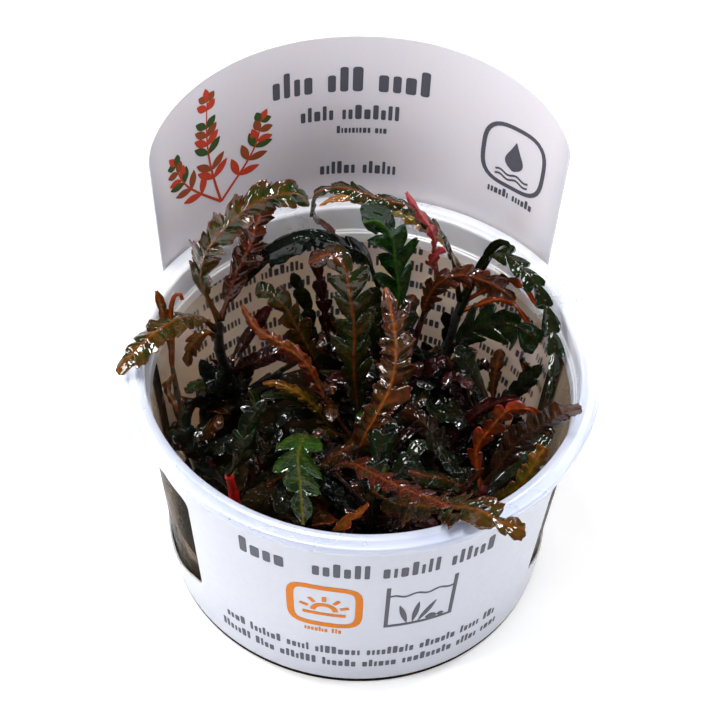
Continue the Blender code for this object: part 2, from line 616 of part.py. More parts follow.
def make_gel(collection, cutters, material):
    """A disc of set gel with a socket for each stem's foot."""
    low = FLOOR_HEIGHT + GAP
    profile = [
        (0.0, GEL_TOP),
        (wall_inside(GEL_TOP) - GEL_MARGIN, GEL_TOP),
        (wall_inside(low + GEL_FILLET) - GEL_MARGIN, low + GEL_FILLET),
        (wall_inside(low) - GEL_MARGIN - GEL_FILLET, low),
        (0.0, low),
    ]
    gel = turned("gel", profile, collection, material)
    bm = bmesh.new()
    for radius, route in STEMS.values():
        socket = (radius + GAP) / cos(pi / SOCKET_SIDES)
        centre = Vector((route[0][0], route[0][1], GEL_TOP)) * MM
        bmesh.ops.create_cone(bm, cap_ends=True, segments=SOCKET_SIDES, radius1=socket * MM,
                              radius2=socket * MM, depth=2.0 * SOCKET_DEPTH * MM,
                              matrix=Matrix.Translation(centre))
    sockets = add_object("gel_sockets", mesh_from_bmesh("gel_sockets", bm), cutters, material)
    hide_cutter(sockets)
    add_boolean(gel, sockets, "DIFFERENCE")
    return gel


def main():
    clear_scene()
    parts = new_collection("hygrophila_cup")
    cutters = new_collection("cutters")
    clear_plastic = plain_material("clear_plastic", (0.85, 0.87, 0.9), 0.25, alpha=0.5)
    printed_card = plain_material("printed_card", (0.78, 0.76, 0.82), 0.45)
    nutrient_gel = plain_material("nutrient_gel", (0.12, 0.1, 0.06), 0.15)
    stem_skin = plain_material("stem_skin", (0.02, 0.02, 0.018), 0.3)
    leaf_skins = {tint: plain_material("leaf_" + tint, color, 0.25) for tint, color in TINTS.items()}
    make_cup(parts, clear_plastic)
    make_sleeve(parts, printed_card)
    make_gel(parts, cutters, nutrient_gel)
    for name in STEMS:
        make_stem(name, parts, cutters, stem_skin)
    for spec in LEAVES:
        make_leaf(spec, parts, leaf_skins[spec["tint"]])


main()
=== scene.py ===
import bmesh
import bpy
import random
from math import atan2, ceil, cos, exp, pi, radians, sin, sqrt, tan
from mathutils import Matrix, Vector, noise


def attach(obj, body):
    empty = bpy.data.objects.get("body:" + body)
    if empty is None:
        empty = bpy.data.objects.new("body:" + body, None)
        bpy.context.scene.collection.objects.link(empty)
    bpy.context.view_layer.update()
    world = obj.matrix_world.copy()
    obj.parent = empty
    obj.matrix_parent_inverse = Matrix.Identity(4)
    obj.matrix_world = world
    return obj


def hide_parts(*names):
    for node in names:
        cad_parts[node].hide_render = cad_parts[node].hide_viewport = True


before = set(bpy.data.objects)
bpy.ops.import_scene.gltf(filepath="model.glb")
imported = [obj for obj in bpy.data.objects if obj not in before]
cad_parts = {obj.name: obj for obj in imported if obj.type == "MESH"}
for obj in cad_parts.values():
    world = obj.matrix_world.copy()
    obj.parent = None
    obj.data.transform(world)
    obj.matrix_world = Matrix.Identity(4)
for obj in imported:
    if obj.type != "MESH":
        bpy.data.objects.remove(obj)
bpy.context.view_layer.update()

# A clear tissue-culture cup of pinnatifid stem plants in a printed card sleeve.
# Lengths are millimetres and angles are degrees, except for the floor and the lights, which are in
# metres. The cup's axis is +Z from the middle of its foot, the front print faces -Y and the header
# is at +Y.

from types import SimpleNamespace

MM = 0.001

# Camera, as fitted to the rim, the foot and the header
CAMERA_AZIMUTH = -6.0
CAMERA_ELEVATION = 47.8
CAMERA_ROLL = 2.48
CAMERA_DISTANCE = 350.0
CAMERA_SIDE = -0.64
CAMERA_AIM_HEIGHT = 55.65
LENS = 86.7
SENSOR = 36.0

# Cup
RIM_RADIUS = 48.0
RIM_HEIGHT = 56.8
WALL_THICKNESS = 1.2
WALL_BASE_RADIUS = 40.3
WALL_TAPER = 0.08
FLOOR_HEIGHT = 1.6
FLOOR_ROUND = 1.8
FOOT_RADIUS = 39.0
MOUTH_RADIUS = 44.0
LEDGE_HEIGHT = 50.0
MILKY_FROM = 47.0
LIP_ROUND = 0.45
MOUTH_ROUND = 0.65
HEEL_ROUND = 0.8
WINDOW_MARGIN = 3.0
EDGE_ROUND = 0.3
TURN_STEPS = 180
WALL_SLOT, RIM_SLOT, WINDOW_SLOT, FOOT_PAINTED_SHADOW_SLOT = range(4)
# Linear colours. The rim's tone is painted shade at the front, fading to none at the back.
RIM_FRONT_PAINTED_SHADE = (0.7, 0.73, 0.82)
RIM_BACK = (1.0, 1.0, 1.0)
# The windows' colours are painted shade, brown with the leaves, roots and gel behind the wall.
WINDOW_PAINTED_SHADE_BROWN = (0.2, 0.15, 0.105)
WINDOW_PAINTED_SHADE_DARK = (0.04, 0.028, 0.019)

# Sleeve
CARD_THICKNESS = 0.4
SLEEVE_FOOT = 2.0
BAND_TOP = 53.0
WINDOW_FRONT = 54.0
WINDOW_BACK = 100.0
WINDOW_TOP = 45.0
WINDOW_CORNER = 2.2
SILL_FRONT = 14.4
SILL_BACK = 8.0
SILL_RUN = 20.0
HEADER_TURN = -1.2
HEADER_HALF = 57.2
HEADER_TOP = 97.9
HEADER_CORNER_DROP = 14.0
HEADER_CORNER_POWER = 2.4
HEADER_LEAN = 3.0
HEADER_CLEARANCE = 0.35
FLARE_START = 8.0
FLARE_FADE = 23.0
GAP = 0.3
COLUMN_WIDTH = 2.2
SILL_ROWS, WINDOW_ROWS, BAND_ROWS, HEADER_ROWS = 5, 10, 4, 14
# Screen colours, with painted light and shade: the front greyer and cooler than the header, the header's
# outer face darker than its inner face, and the inner face low down behind the plants lighter and warmer
CARD_FRONT_PAINTED_SHADE = (168, 171, 181)
HEADER_INSIDE = (203, 200, 207)
HEADER_OUTSIDE_PAINTED_SHADE = (192, 191, 198)
BEHIND_PLANTS_PAINTED_LIGHT = (227, 222, 219)

# Gel
GEL_TOP = 11.0
GEL_COLUMNS = 120
GEL_RINGS = 30
GEL_CLEARANCE = 0.45
GEL_WAVE = 0.35
GEL_CLIMB = 0.5
WALL_CLIMB_RUN = 0.6
STEM_CLIMB_RUN = 1.5

# Leaves
PATH_SAMPLES = 240
CURVE_STEPS = 24
STALK_SHARE = 0.14
STALK_HALF = 0.5
ACROSS = (-1.0, -0.93, -0.8, -0.62, -0.44, -0.28, -0.15, -0.06, 0.0,
          0.06, 0.15, 0.28, 0.44, 0.62, 0.8, 0.93, 1.0)


def srgb(red, green, blue):
    """A linear colour from 0 to 255 screen values."""
    return tuple((value / 255.0) ** 2.2 for value in (red, green, blue))


# Each paint: its slot name, then the screen colours of blade, patches, margin, midrib and tip.
PAINTS = {
    "dark": ("leaf_dark_green", (28, 50, 28), (44, 66, 24), (34, 44, 22), (66, 50, 24), (36, 60, 30)),
    "blue_dark": ("leaf_dark_green", (24, 42, 34), (32, 50, 40), (26, 34, 28), (44, 44, 34), (28, 48, 38)),
    "dark_orange_rib": ("leaf_dark_green", (40, 66, 24), (66, 66, 24), (56, 50, 22), (140, 74, 26),
        (92, 54, 40)),
    "vivid": ("leaf_green", (48, 94, 36), (22, 56, 26), (36, 72, 28), (86, 122, 50), (26, 58, 34)),
    "fresh": ("leaf_green", (64, 108, 34), (44, 80, 28), (62, 88, 30), (112, 108, 40), (24, 44, 22)),
    "olive": ("leaf_olive", (84, 78, 24), (58, 70, 22), (104, 60, 26), (156, 92, 32), (104, 88, 38)),
    "yellow": ("leaf_olive", (140, 122, 34), (110, 110, 34), (168, 104, 36), (176, 132, 50), (158, 96, 36)),
    "bronze": ("leaf_bronze", (88, 60, 26), (66, 68, 24), (98, 50, 26), (150, 84, 38), (80, 58, 30)),
    "bronze_green_tip": ("leaf_bronze", (88, 74, 28), (60, 74, 24), (112, 54, 32), (132, 88, 42),
        (34, 80, 32)),
    "olive_bronze": ("leaf_bronze", (84, 74, 26), (58, 62, 22), (106, 58, 26), (150, 90, 32),
        (104, 84, 38)),
    "dusky": ("leaf_bronze", (56, 42, 24), (74, 46, 28), (70, 42, 24), (104, 66, 34), (116, 72, 40)),
    "rust": ("leaf_red_brown", (92, 52, 26), (70, 60, 24), (112, 44, 28), (146, 82, 38), (84, 58, 30)),
    "crinkled": ("leaf_bronze", (96, 60, 30), (80, 66, 26), (104, 52, 32), (176, 108, 40), (100, 64, 50)),
    "red_brown": ("leaf_red_brown", (88, 42, 24), (78, 58, 24), (104, 40, 26), (144, 78, 44), (96, 48, 28)),
    "maroon": ("leaf_red_brown", (74, 26, 26), (56, 30, 26), (84, 32, 30), (96, 40, 34), (92, 30, 28)),
    "pink": ("leaf_red_brown", (186, 74, 84), (168, 84, 76), (198, 70, 84), (206, 110, 104),
        (204, 76, 104)),
    "orange": ("leaf_orange", (148, 66, 24), (112, 66, 24), (158, 50, 24), (176, 100, 42), (158, 48, 26)),
    "orange_pink": ("leaf_orange", (150, 78, 46), (138, 92, 32), (160, 66, 48), (190, 116, 66),
        (124, 66, 34)),
    "orange_olive": ("leaf_orange", (124, 80, 28), (96, 80, 28), (142, 66, 30), (158, 98, 42),
        (146, 82, 32)),
}

TOWARDS_FRONT = (0.0, -0.67, 0.74)
UPWARDS = (0.0, -0.1, 1.0)

ROOT_HEIGHT = 5.8
BLACK = srgb(20, 18, 17)
DARK_RED = srgb(72, 24, 24)
BRIGHT_RED = srgb(220, 36, 34)
GREEN_BROWN = srgb(54, 48, 26)


def stem(radius, foot_tone, top_tone, root, straight, *rest):
    """One stem's radius, colours and route: straight up from its root to a height, then the rest."""
    return radius, foot_tone, top_tone, [(*root, ROOT_HEIGHT), (*root, straight), *rest]


STEMS = {
    "stem_left": stem(1.4, BLACK, BLACK, (-24, 24), 12, (-27, 22, 26), (-29, 20, 38), (-29, 18, 50)),
    "stem_left_front": stem(1.2, BRIGHT_RED, BRIGHT_RED, (-26, -6), 12, (-27, -7, 22), (-28, -9, 32)),
    "stem_left_edge": stem(0.8, BLACK, GREEN_BROWN, (-34, 2), 12, (-37, 5, 30), (-39, 9, 47)),
    "stem_middle": stem(1.3, BLACK, GREEN_BROWN, (1, 9), 12, (1, 8, 23)),
    "stem_back": stem(1.0, BLACK, BLACK, (3, 27), 12, (6, 30, 28), (6, 31, 45)),
    "stem_back_left": stem(0.8, DARK_RED, BLACK, (-4, 21), 12, (-5, 23, 24), (-5, 24, 33)),
    "stem_upright": stem(0.9, BLACK, BLACK, (7, 18), 12, (8, 20, 28), (8, 20, 45)),
    "stem_back_right": stem(0.8, DARK_RED, DARK_RED, (13, 29), 12, (15, 30, 30), (18, 28, 48),
        (17, 27, 58)),
    "stem_right_back": stem(1.2, BLACK, BLACK, (18, 21), 12, (21, 25, 26), (23, 27, 38), (25, 29, 46)),
    "stem_right": stem(0.9, BLACK, GREEN_BROWN, (28, 8), 14, (30, 10, 21), (30, 11, 29)),
    "stem_right_front": stem(1.1, BLACK, DARK_RED, (22, -14), 14, (24, -15, 24), (25, -15, 33)),
    "stem_right_middle": stem(1.2, BLACK, DARK_RED, (18, 0), 12, (18, -2, 21)),
    "stem_front": stem(1.1, BLACK, GREEN_BROWN, (2, -15), 12, (1, -16, 24), (1, -16, 33)),
    "stem_middle_front": stem(0.9, BLACK, BLACK, (0, -4), 12, (-1, -4, 26)),
    "stem_front_left": stem(1.0, BLACK, GREEN_BROWN, (-14, -4), 12, (-12, -4, 24), (-11, -4, 36)),
}


# What a leaf has unless its row says otherwise.
LEAF = {
    "face": TOWARDS_FRONT,    # where its upper side looks
    "twist": 0.0,
    "fold": -0.25,            # how far its halves rise or hang from the midrib
    "ruffle": 0.35,           # how far its margin waves
    "pucker": 0.5,            # how far its lobes arch
    "sweep": 1.0,             # how far its lobes lean forward
    "bluntness": 0.5,         # 1 for pointed lobes, 0 for square ones
    "crisp": 0.0,             # how crisped and ragged its margin is
    "holes": (),              # each as start, end and side along the blade
    "tip_from": 0.72,         # share of its length from which its tip's colour comes in
    "fullness": 0.45,         # 0 for a strap, higher for a slender blade
    "skew": 0.85,             # below 1 where it is widest near its base
}


def leaf(name, stem_name, height, route, width, paint, lobes=6, depth=0.55, **changes):
    """One leaf: its stem, the height it grows at, its midrib, its half width, its paint, its lobes
    and how far the notches between them cut in."""
    return SimpleNamespace(**{**LEAF, **changes}, name=name, stem=stem_name, height=height, route=route,
                           width=width, paint=paint, lobes=lobes, depth=depth)


LEAVES = [
    leaf("leaf_left_crest", "stem_left", 50, [(-32, 19, 60), (-31, 18, 69), (-27, 18, 76), (-22, 19, 81),
         (-16, 20, 83), (-12, 21, 82), (-10, 21, 79)], 3.9, "bronze_green_tip", 8, 0.5, ruffle=0.7,
         pucker=0.9, sweep=1.15, bluntness=0.35, crisp=0.35),
    leaf("leaf_left_inner", "stem_left", 49, [(-25, 22, 59), (-22, 23, 66), (-20, 25, 72), (-17, 26, 76)],
         3.4, "red_brown", 7, 0.5, ruffle=0.6, pucker=0.8, sweep=1.1, bluntness=0.35, crisp=0.3),
    leaf("leaf_over_left_rim", "stem_left", 47, [(-33, 16, 53), (-37, 10, 59), (-41, 4, 62),
         (-45, -1, 62), (-49, -4, 59)], 3.4, "olive", 7, 0.25, face=UPWARDS, ruffle=0.5, bluntness=0.35,
         fullness=0.36),
    leaf("leaf_left_upright", "stem_left_edge", 47, [(-39, 11, 53), (-40, 12, 59), (-41, 12, 65)], 1.4,
         "orange_olive", 3, 0.3),
    leaf("leaf_left_hanging", "stem_left", 44, [(-32, 18, 46), (-35, 16, 44), (-36, 16, 38)], 1.9,
         "orange_olive", 3, 0.4),
    leaf("leaf_back_strap", "stem_back", 45, [(4, 30, 52), (2, 28, 58), (-3, 26, 63), (-8, 25, 66),
         (-13, 24, 66), (-19, 23, 63), (-22, 24, 58), (-24, 25, 53)], 2.8, "blue_dark", 4, 0.12,
         ruffle=0.15, pucker=0.15),
    leaf("leaf_back_red", "stem_back_left", 33, [(-6, 25, 42), (-7, 26, 51), (-8, 27, 58)], 1.9, "maroon",
         4, 0.7, bluntness=0.9),
    leaf("leaf_back_green", "stem_back_left", 30, [(-9, 25, 38), (-10, 26, 46), (-13, 27, 54)], 2.2,
         "dark", 4, 0.5),
    leaf("leaf_left_middle", "stem_back_left", 24, [(-8, 20, 33), (-12, 19, 44), (-15, 19, 52),
         (-19, 20, 56), (-21, 21, 54)], 3.4, "bronze_green_tip", depth=0.65),
    leaf("leaf_orange_ribbon", "stem_middle", 18, [(-4, 12, 24), (-8, 13, 33), (-11, 13, 41),
         (-16, 14, 46), (-21, 15, 50), (-24, 17, 55)], 1.7, "orange_pink", 12, 0.35, ruffle=0.5,
         crisp=0.7),
    leaf("leaf_yellow_arc", "stem_middle", 15, [(-5, 9, 22), (-9, 9, 31), (-13, 9, 36), (-17, 10, 38),
         (-20, 11, 37)], 1.5, "yellow", 9, 0.3, crisp=0.6),
    leaf("leaf_tall_middle", "stem_middle", 23, [(0, 8, 33), (-1, 8, 44), (-1, 10, 54), (-2, 12, 62),
         (-3, 15, 67), (-6, 18, 68), (-10, 20, 64)], 4.8, "dark_orange_rib", 8, 0.66, sweep=1.35,
         bluntness=0.4, fullness=0.6),
    leaf("leaf_bright_upright", "stem_upright", 45, [(9, 20, 54), (8, 20, 62), (7, 20, 70), (4, 20, 75),
         (1, 21, 74)], 5.2, "vivid", 4, 0.75, sweep=1.1, tip_from=0.8),
    leaf("leaf_middle_blade", "stem_upright", 34, [(5, 22, 42), (4, 24, 52)], 2.3, "dark", 3, 0.1,
         ruffle=0.2, pucker=0.1),
    leaf("leaf_bronze_wavy", "stem_middle_front", 26, [(0, -4, 34), (3, -3, 42), (6, 0, 48), (7, 3, 55),
         (6, 7, 62), (5, 10, 66)], 3.8, "crinkled", 7, 0.35, twist=50, ruffle=0.8, pucker=0.7, sweep=0.6,
         bluntness=0.4, crisp=0.7, fullness=0.35),
    leaf("leaf_brown_arc", "stem_right_middle", 21, [(17, -4, 30), (15, -3, 35), (12, -1, 38),
         (9, 1, 38)], 3.2, "dusky", 6, 0.25),
    leaf("leaf_high_arch", "stem_right_back", 43, [(21, 28, 57), (18, 27, 65), (11, 26, 73), (4, 26, 76),
         (-3, 27, 78), (-8, 28, 76), (-9, 29, 70), (-7, 31, 65), (-4, 31, 62)], 2.3, "dark_orange_rib",
         12, 0.4, face=UPWARDS, crisp=0.35),
    leaf("leaf_under_arch", "stem_right_back", 46, [(23, 30, 52), (18, 30, 61), (13, 30, 66), (5, 30, 70),
         (-2, 31, 72), (-7, 32, 69)], 2.2, "yellow", 10, 0.4, face=UPWARDS, crisp=0.35),
    leaf("leaf_pink_shoot", "stem_back_right", 58, [(16, 24, 67), (13, 24, 73), (10, 25, 78)], 1.2,
         "pink", 4, 0.7, bluntness=0.8),
    leaf("leaf_over_right", "stem_right_back", 40, [(28, 28, 54), (31, 24, 61), (35, 17, 62),
         (38, 13, 59), (40, 8, 54), (40, 2, 49), (39, -2, 43)], 2.6, "dark", 10, 0.7,
         face=(-0.3, -0.5, 0.8), sweep=1.3),
    leaf("leaf_red_arch", "stem_back_right", 36, [(16, 24, 48), (18, 22, 55), (22, 21, 58), (27, 20, 57),
         (31, 20, 54), (34, 20, 51)], 2.9, "rust", 8, crisp=0.3),
    leaf("leaf_pink_small", "stem_back_right", 54, [(16, 24, 59), (18, 22, 65)], 1.6, "pink", 3, 0.75,
         bluntness=0.9),
    leaf("leaf_right_lobed", "stem_right_back", 30, [(26, 20, 42), (30, 16, 48), (34, 13, 50),
         (38, 10, 48)], 5.6, "dark", 4, 0.68, fold=-0.15, sweep=1.2, bluntness=0.4),
    leaf("leaf_right_bronze", "stem_right", 28, [(30, 12, 35), (31, 14, 42)], 1.8, "bronze", 4, 0.4),
    leaf("leaf_right_green", "stem_right", 24, [(34, 10, 32), (37, 9, 38), (39, 9, 42)], 2.4, "dark", 4,
         0.3),
    leaf("leaf_over_right_rim", "stem_right_front", 33, [(28, -17, 44), (30, -19, 52), (34, -21, 59),
         (37, -22, 63), (40, -22, 64)], 3, "dusky", 9, 0.25, bluntness=0.4, crisp=0.2, fullness=0.36),
    leaf("leaf_orange_lobed", "stem_right_front", 30, [(23, -12, 40), (25, -13, 48), (28, -14, 55),
         (32, -16, 57), (34, -17, 54)], 2.5, "orange", depth=0.75),
    leaf("leaf_dark_right", "stem_right_middle", 20, [(21, 0, 31), (24, -1, 38), (28, -1, 42),
         (33, -1, 43)], 2.2, "maroon", 5, 0.35),
    leaf("leaf_yellow_right", "stem_right_front", 26, [(31, -18, 35), (33, -19, 42), (35, -19, 49)], 2.3,
         "yellow", 6, 0.5, crisp=0.4),
    leaf("leaf_small_right", "stem_right_front", 20, [(19, -18, 29), (20, -19, 36), (23, -19, 43)], 1.8,
         "red_brown", 4, 0.45),
    leaf("leaf_front_red", "stem_front", 28, [(-6, -11, 34), (-3, -14, 40), (1, -21, 45), (5, -29, 51),
         (9, -37, 58), (12, -44, 64)], 3.2, "red_brown", 9, face=UPWARDS, bluntness=0.6, crisp=0.3),
    leaf("leaf_front_rim", "stem_front", 33, [(5, -24, 39), (10, -31, 47), (14, -38, 56), (18, -43, 61),
         (22, -46, 61), (26, -47, 60)], 5.4, "olive_bronze", 7, 0.45, face=UPWARDS, fold=-0.1, crisp=0.5,
         holes=((0.5, 0.56, 1), (0.62, 0.68, 1), (0.55, 0.6, -1), (0.75, 0.8, -1)), fullness=0.28),
    leaf("leaf_bright_front", "stem_front_left", 36, [(-12, -9, 43), (-14, -18, 48), (-14, -27, 50),
         (-14, -37, 51)], 5.6, "fresh", 4, 0.7, tip_from=0.1, fullness=0.7, skew=0.5),
    leaf("leaf_front_small", "stem_front", 18, [(-5, -24, 28), (-8, -30, 38), (-5, -31, 43),
         (-1, -31, 48)], 2.8, "orange_olive", 6, 0.8, fullness=0.25),
    leaf("leaf_front_shoot", "stem_front_left", 20, [(-9.5, -14, 26), (-9, -27, 37), (-10.2, -32.5, 45)],
         2.6, "orange_olive", 5, 0.8, fullness=0.25),
    leaf("leaf_left_lobed", "stem_left_front", 32, [(-25, -10, 39), (-24, -7, 44), (-20, -5, 50)], 2.3,
         "dark", 4, 0.5),
    leaf("leaf_left_blade", "stem_left", 24, [(-28, 12, 35), (-31, 11, 41), (-33, 11, 45)], 2.7,
         "blue_dark", 3, 0.1, ruffle=0.1, pucker=0.1),
    leaf("leaf_left_dark", "stem_left", 17, [(-28, 16, 22), (-31, 12, 29), (-35, 8, 36)], 2.4,
         "blue_dark", 3, 0.1, ruffle=0.1, pucker=0.1),
    leaf("leaf_back_maroon", "stem_left", 30, [(-22, 17, 37), (-17, 17, 40), (-12, 16, 39)], 2.2,
         "maroon", 3, 0.1),
    leaf("leaf_left_low", "stem_left_front", 24, [(-32, -5, 30), (-36, -5, 38), (-36, -3, 45)], 2.4,
         "blue_dark", 4, 0.45),
    leaf("leaf_left_wide", "stem_left_front", 20, [(-22, -4, 25), (-20, -3, 31), (-20, -2, 38)], 2.9,
         "dark", 4, 0.45),
    leaf("leaf_left_tip", "stem_left_front", 28, [(-23, 0, 36), (-22, 1, 42), (-23, 1, 47)], 1.6, "fresh",
         2, 0.1),
]

# Smaller leaves that the solids don't have, each in the piece of its stem.
SMALL_LEAVES = [
    leaf("small_hook", "stem_left_edge", 46, [(-38.5, 11, 52), (-38.5, 12, 59), (-37.6, 12, 63.5),
         (-36.4, 12, 64), (-36, 12, 62.5)], 0.55, "orange", 2, 0.1),
    leaf("small_knob", "stem_right_back", 44, [(28, 28, 55), (29.6, 26.5, 60.5), (31.4, 25.5, 62.6),
         (32.4, 24.6, 61.8), (31.8, 24, 60.6)], 1.3, "dark", 2, 0.3),
    leaf("small_flame", "stem_right_back", 42, [(30, 27, 48), (33, 24, 53), (36, 20, 54), (38, 17, 52)],
         1.4, "orange", 4, 0.75, bluntness=0.8),
    leaf("small_ember", "stem_right_back", 40, [(31, 24, 47), (34, 20, 49.5), (37.5, 15, 47)], 1.1,
         "orange", 3, 0.75, bluntness=0.8),
]


def young(letter, stem_name, height, route, width, paint, **changes):
    return leaf("young_" + letter, "stem_" + stem_name, height, route, width, paint, 2, 0.3, **changes)


# The small young leaves that are one with their stems in the solids.
YOUNG_LEAVES = [
    young("a", "left", 18, [(-19, 20, 22), (-15, 17, 27)], 1.9, "dark"),
    young("b", "left_front", 14, [(-20, -11, 17), (-15, -15, 22)], 1.9, "blue_dark"),
    young("c", "left_edge", 44, [(-40, 3, 46), (-38, 0, 42)], 1, "orange_olive", crisp=1.0),
    young("d", "middle", 14, [(6, 5, 18), (10, 3, 24)], 2, "bronze"),
    young("e", "back", 22, [(-1, 33, 26), (-5, 35, 33)], 1.8, "dark_orange_rib"),
    young("f", "upright", 22, [(13, 15, 26), (16, 11, 32)], 2, "dark"),
    young("g", "right_back", 18, [(24, 18, 20), (29, 16, 24)], 1.9, "blue_dark"),
    young("h", "right", 14, [(33, 4, 17), (35, -1, 23)], 1.8, "maroon"),
    young("i", "right_front", 15, [(16, -19, 18), (12, -23, 24)], 2, "bronze"),
    young("j", "front", 14, [(6, -21, 16), (9, -28, 21)], 2, "dark_orange_rib"),
    young("k", "front_left", 16, [(-12, -12, 19), (-11, -19, 25)], 1.9, "dark"),
    young("l", "right_middle", 15, [(14, 3, 19), (11, 5, 24)], 1.6, "blue_dark"),
    young("m", "left_front", 18, [(-32, -12, 22), (-35, -15, 27)], 1.2, "maroon"),
    young("n", "front", 22, [(7, -18, 26), (12, -20, 31)], 1.9, "bronze"),
    young("o", "front_left", 26, [(-17, -9, 30), (-20, -14, 34)], 1.9, "dark_orange_rib"),
    young("p", "middle_front", 15, [(-5, -9, 18), (-8, -15, 22)], 1.8, "dark"),
    young("q", "back_right", 22, [(9, 33, 26), (4, 36, 32)], 1.6, "blue_dark"),
    young("r", "left", 30, [(-23, 27, 34), (-18, 31, 40)], 1.7, "maroon"),
    young("s", "right_front", 15, [(27, -22, 19), (27, -29, 25)], 1.8, "bronze"),
    young("t", "right_middle", 13, [(23, -5, 16), (29, -8, 20)], 1.6, "dark_orange_rib"),
]


# Small helpers

def smooth_step(value):
    value = min(max(value, 0.0), 1.0)
    return value * value * (3.0 - 2.0 * value)


def blend_color(first, second, share):
    return tuple(a + (b - a) * share for a, b in zip(first, second))


def bump_at(value, centre, width):
    """A bell of height 1 at the centre."""
    return exp(-((value - centre) / width) ** 2)


def between(start, end, steps):
    """Numbers from start to end in even steps."""
    return [start + (end - start) * step / steps for step in range(steps + 1)]


def around(middle, radius, angle):
    """The point at an angle on a circle."""
    return (middle[0] + radius * cos(radians(angle)), middle[1] + radius * sin(radians(angle)))


def arc(middle, radius, start, end, steps=5):
    """Points on a circle from one angle to another."""
    return [around(middle, radius, angle) for angle in between(start, end, steps)]


def add_object(name, data, *materials):
    item = bpy.data.objects.new(name, data)
    for material in materials:
        data.materials.append(material)
    bpy.context.scene.collection.objects.link(item)
    return item


def seat(item, slot, *nodes):
    """Let a piece ride with the part and stand for CAD nodes. Its slot is not used."""
    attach(item, "root")
    if nodes:
        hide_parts(*nodes)


# Meshes

class Shell:
    """Collects closed sheets as vertices, faces and a colour at each vertex."""

    def __init__(self):
        self.vertices = []
        self.faces = []
        self.tones = []
        self.slots = []

    def add_sheet(self, front, back, tones, keep=None, wrap=False, slot=0, back_tones=None):
        """Close a sheet between two grids of points, with a wall round each edge and opening."""
        rows, columns = len(front), len(front[0])
        last_row = rows if wrap else rows - 1
        start = len(self.vertices)
        behind = rows * columns
        for grid in (front, back):
            for row in grid:
                self.vertices.extend(row)
        for grid in (tones, back_tones or tones):
            for row in grid:
                self.tones.extend(row)
        kept = {(i, j) for i in range(last_row) for j in range(columns - 1) if keep is None or keep(i, j)}
        for i, j in sorted(kept):
            following = (i + 1) % rows
            corners = [start + i * columns + j, start + following * columns + j,
                       start + following * columns + j + 1, start + i * columns + j + 1]
            self.add_face(corners, slot)
            self.add_face([corner + behind for corner in reversed(corners)], slot)
            for step, first, second in (((0, -1), 0, 1), ((1, 0), 1, 2), ((0, 1), 2, 3), ((-1, 0), 3, 0)):
                row = (i + step[0]) % rows if wrap else i + step[0]
                if (row, j + step[1]) not in kept:
                    self.add_face([corners[second], corners[first], corners[first] + behind,
                                   corners[second] + behind], slot)

    def add_tube(self, rings, tones, slot):
        """Close a tube through rings of points, with a flat cap at each end."""
        start = len(self.vertices)
        count = len(rings[0])
        for ring, tone in zip(rings, tones):
            self.vertices.extend(ring)
            self.tones.extend([tone] * count)
        for level in range(len(rings) - 1):
            for index in range(count):
                following = (index + 1) % count
                low = start + level * count
                self.add_face([low + index, low + following, low + count + following,
                               low + count + index], slot)
        self.add_face([start + index for index in reversed(range(count))], slot)
        top = start + (len(rings) - 1) * count
        self.add_face([top + index for index in range(count)], slot)

    def add_face(self, corners, slot):
        self.faces.append(corners)
        self.slots.append(slot)

    def mesh(self, name, sharp=None):
        """A mesh in metres, without loose points, its faces outwards and its colours in 'tone'."""
        mesh = bpy.data.meshes.new(name)
        mesh.from_pydata([tuple(value * MM for value in place) for place in self.vertices], [], self.faces)
        tone = mesh.color_attributes.new("tone", "FLOAT_COLOR", "POINT")
        tone.data.foreach_set("color", [value for color in self.tones for value in (*color[:3], 1.0)])
        mesh.polygons.foreach_set("material_index", self.slots)
        bm = bmesh.new()
        bm.from_mesh(mesh)
        bmesh.ops.delete(bm, geom=[vert for vert in bm.verts if not vert.link_faces], context="VERTS")
        bmesh.ops.recalc_face_normals(bm, faces=bm.faces)
        bm.to_mesh(mesh)
        bm.free()
        mesh.shade_smooth()
        if sharp:
            mesh.set_sharp_from_angle(angle=radians(sharp))
        return mesh


# Materials

# How far noise is squeezed along each axis; below 1 it is stretched.
EVEN = (1.0, 1.0, 1.0)
UPRIGHT = (1.0, 1.0, 0.12)
STEM_STREAKS = (3.0, 3.0, 0.25)
CARD_FIBRE = (1.0, 1.0, 2.5)


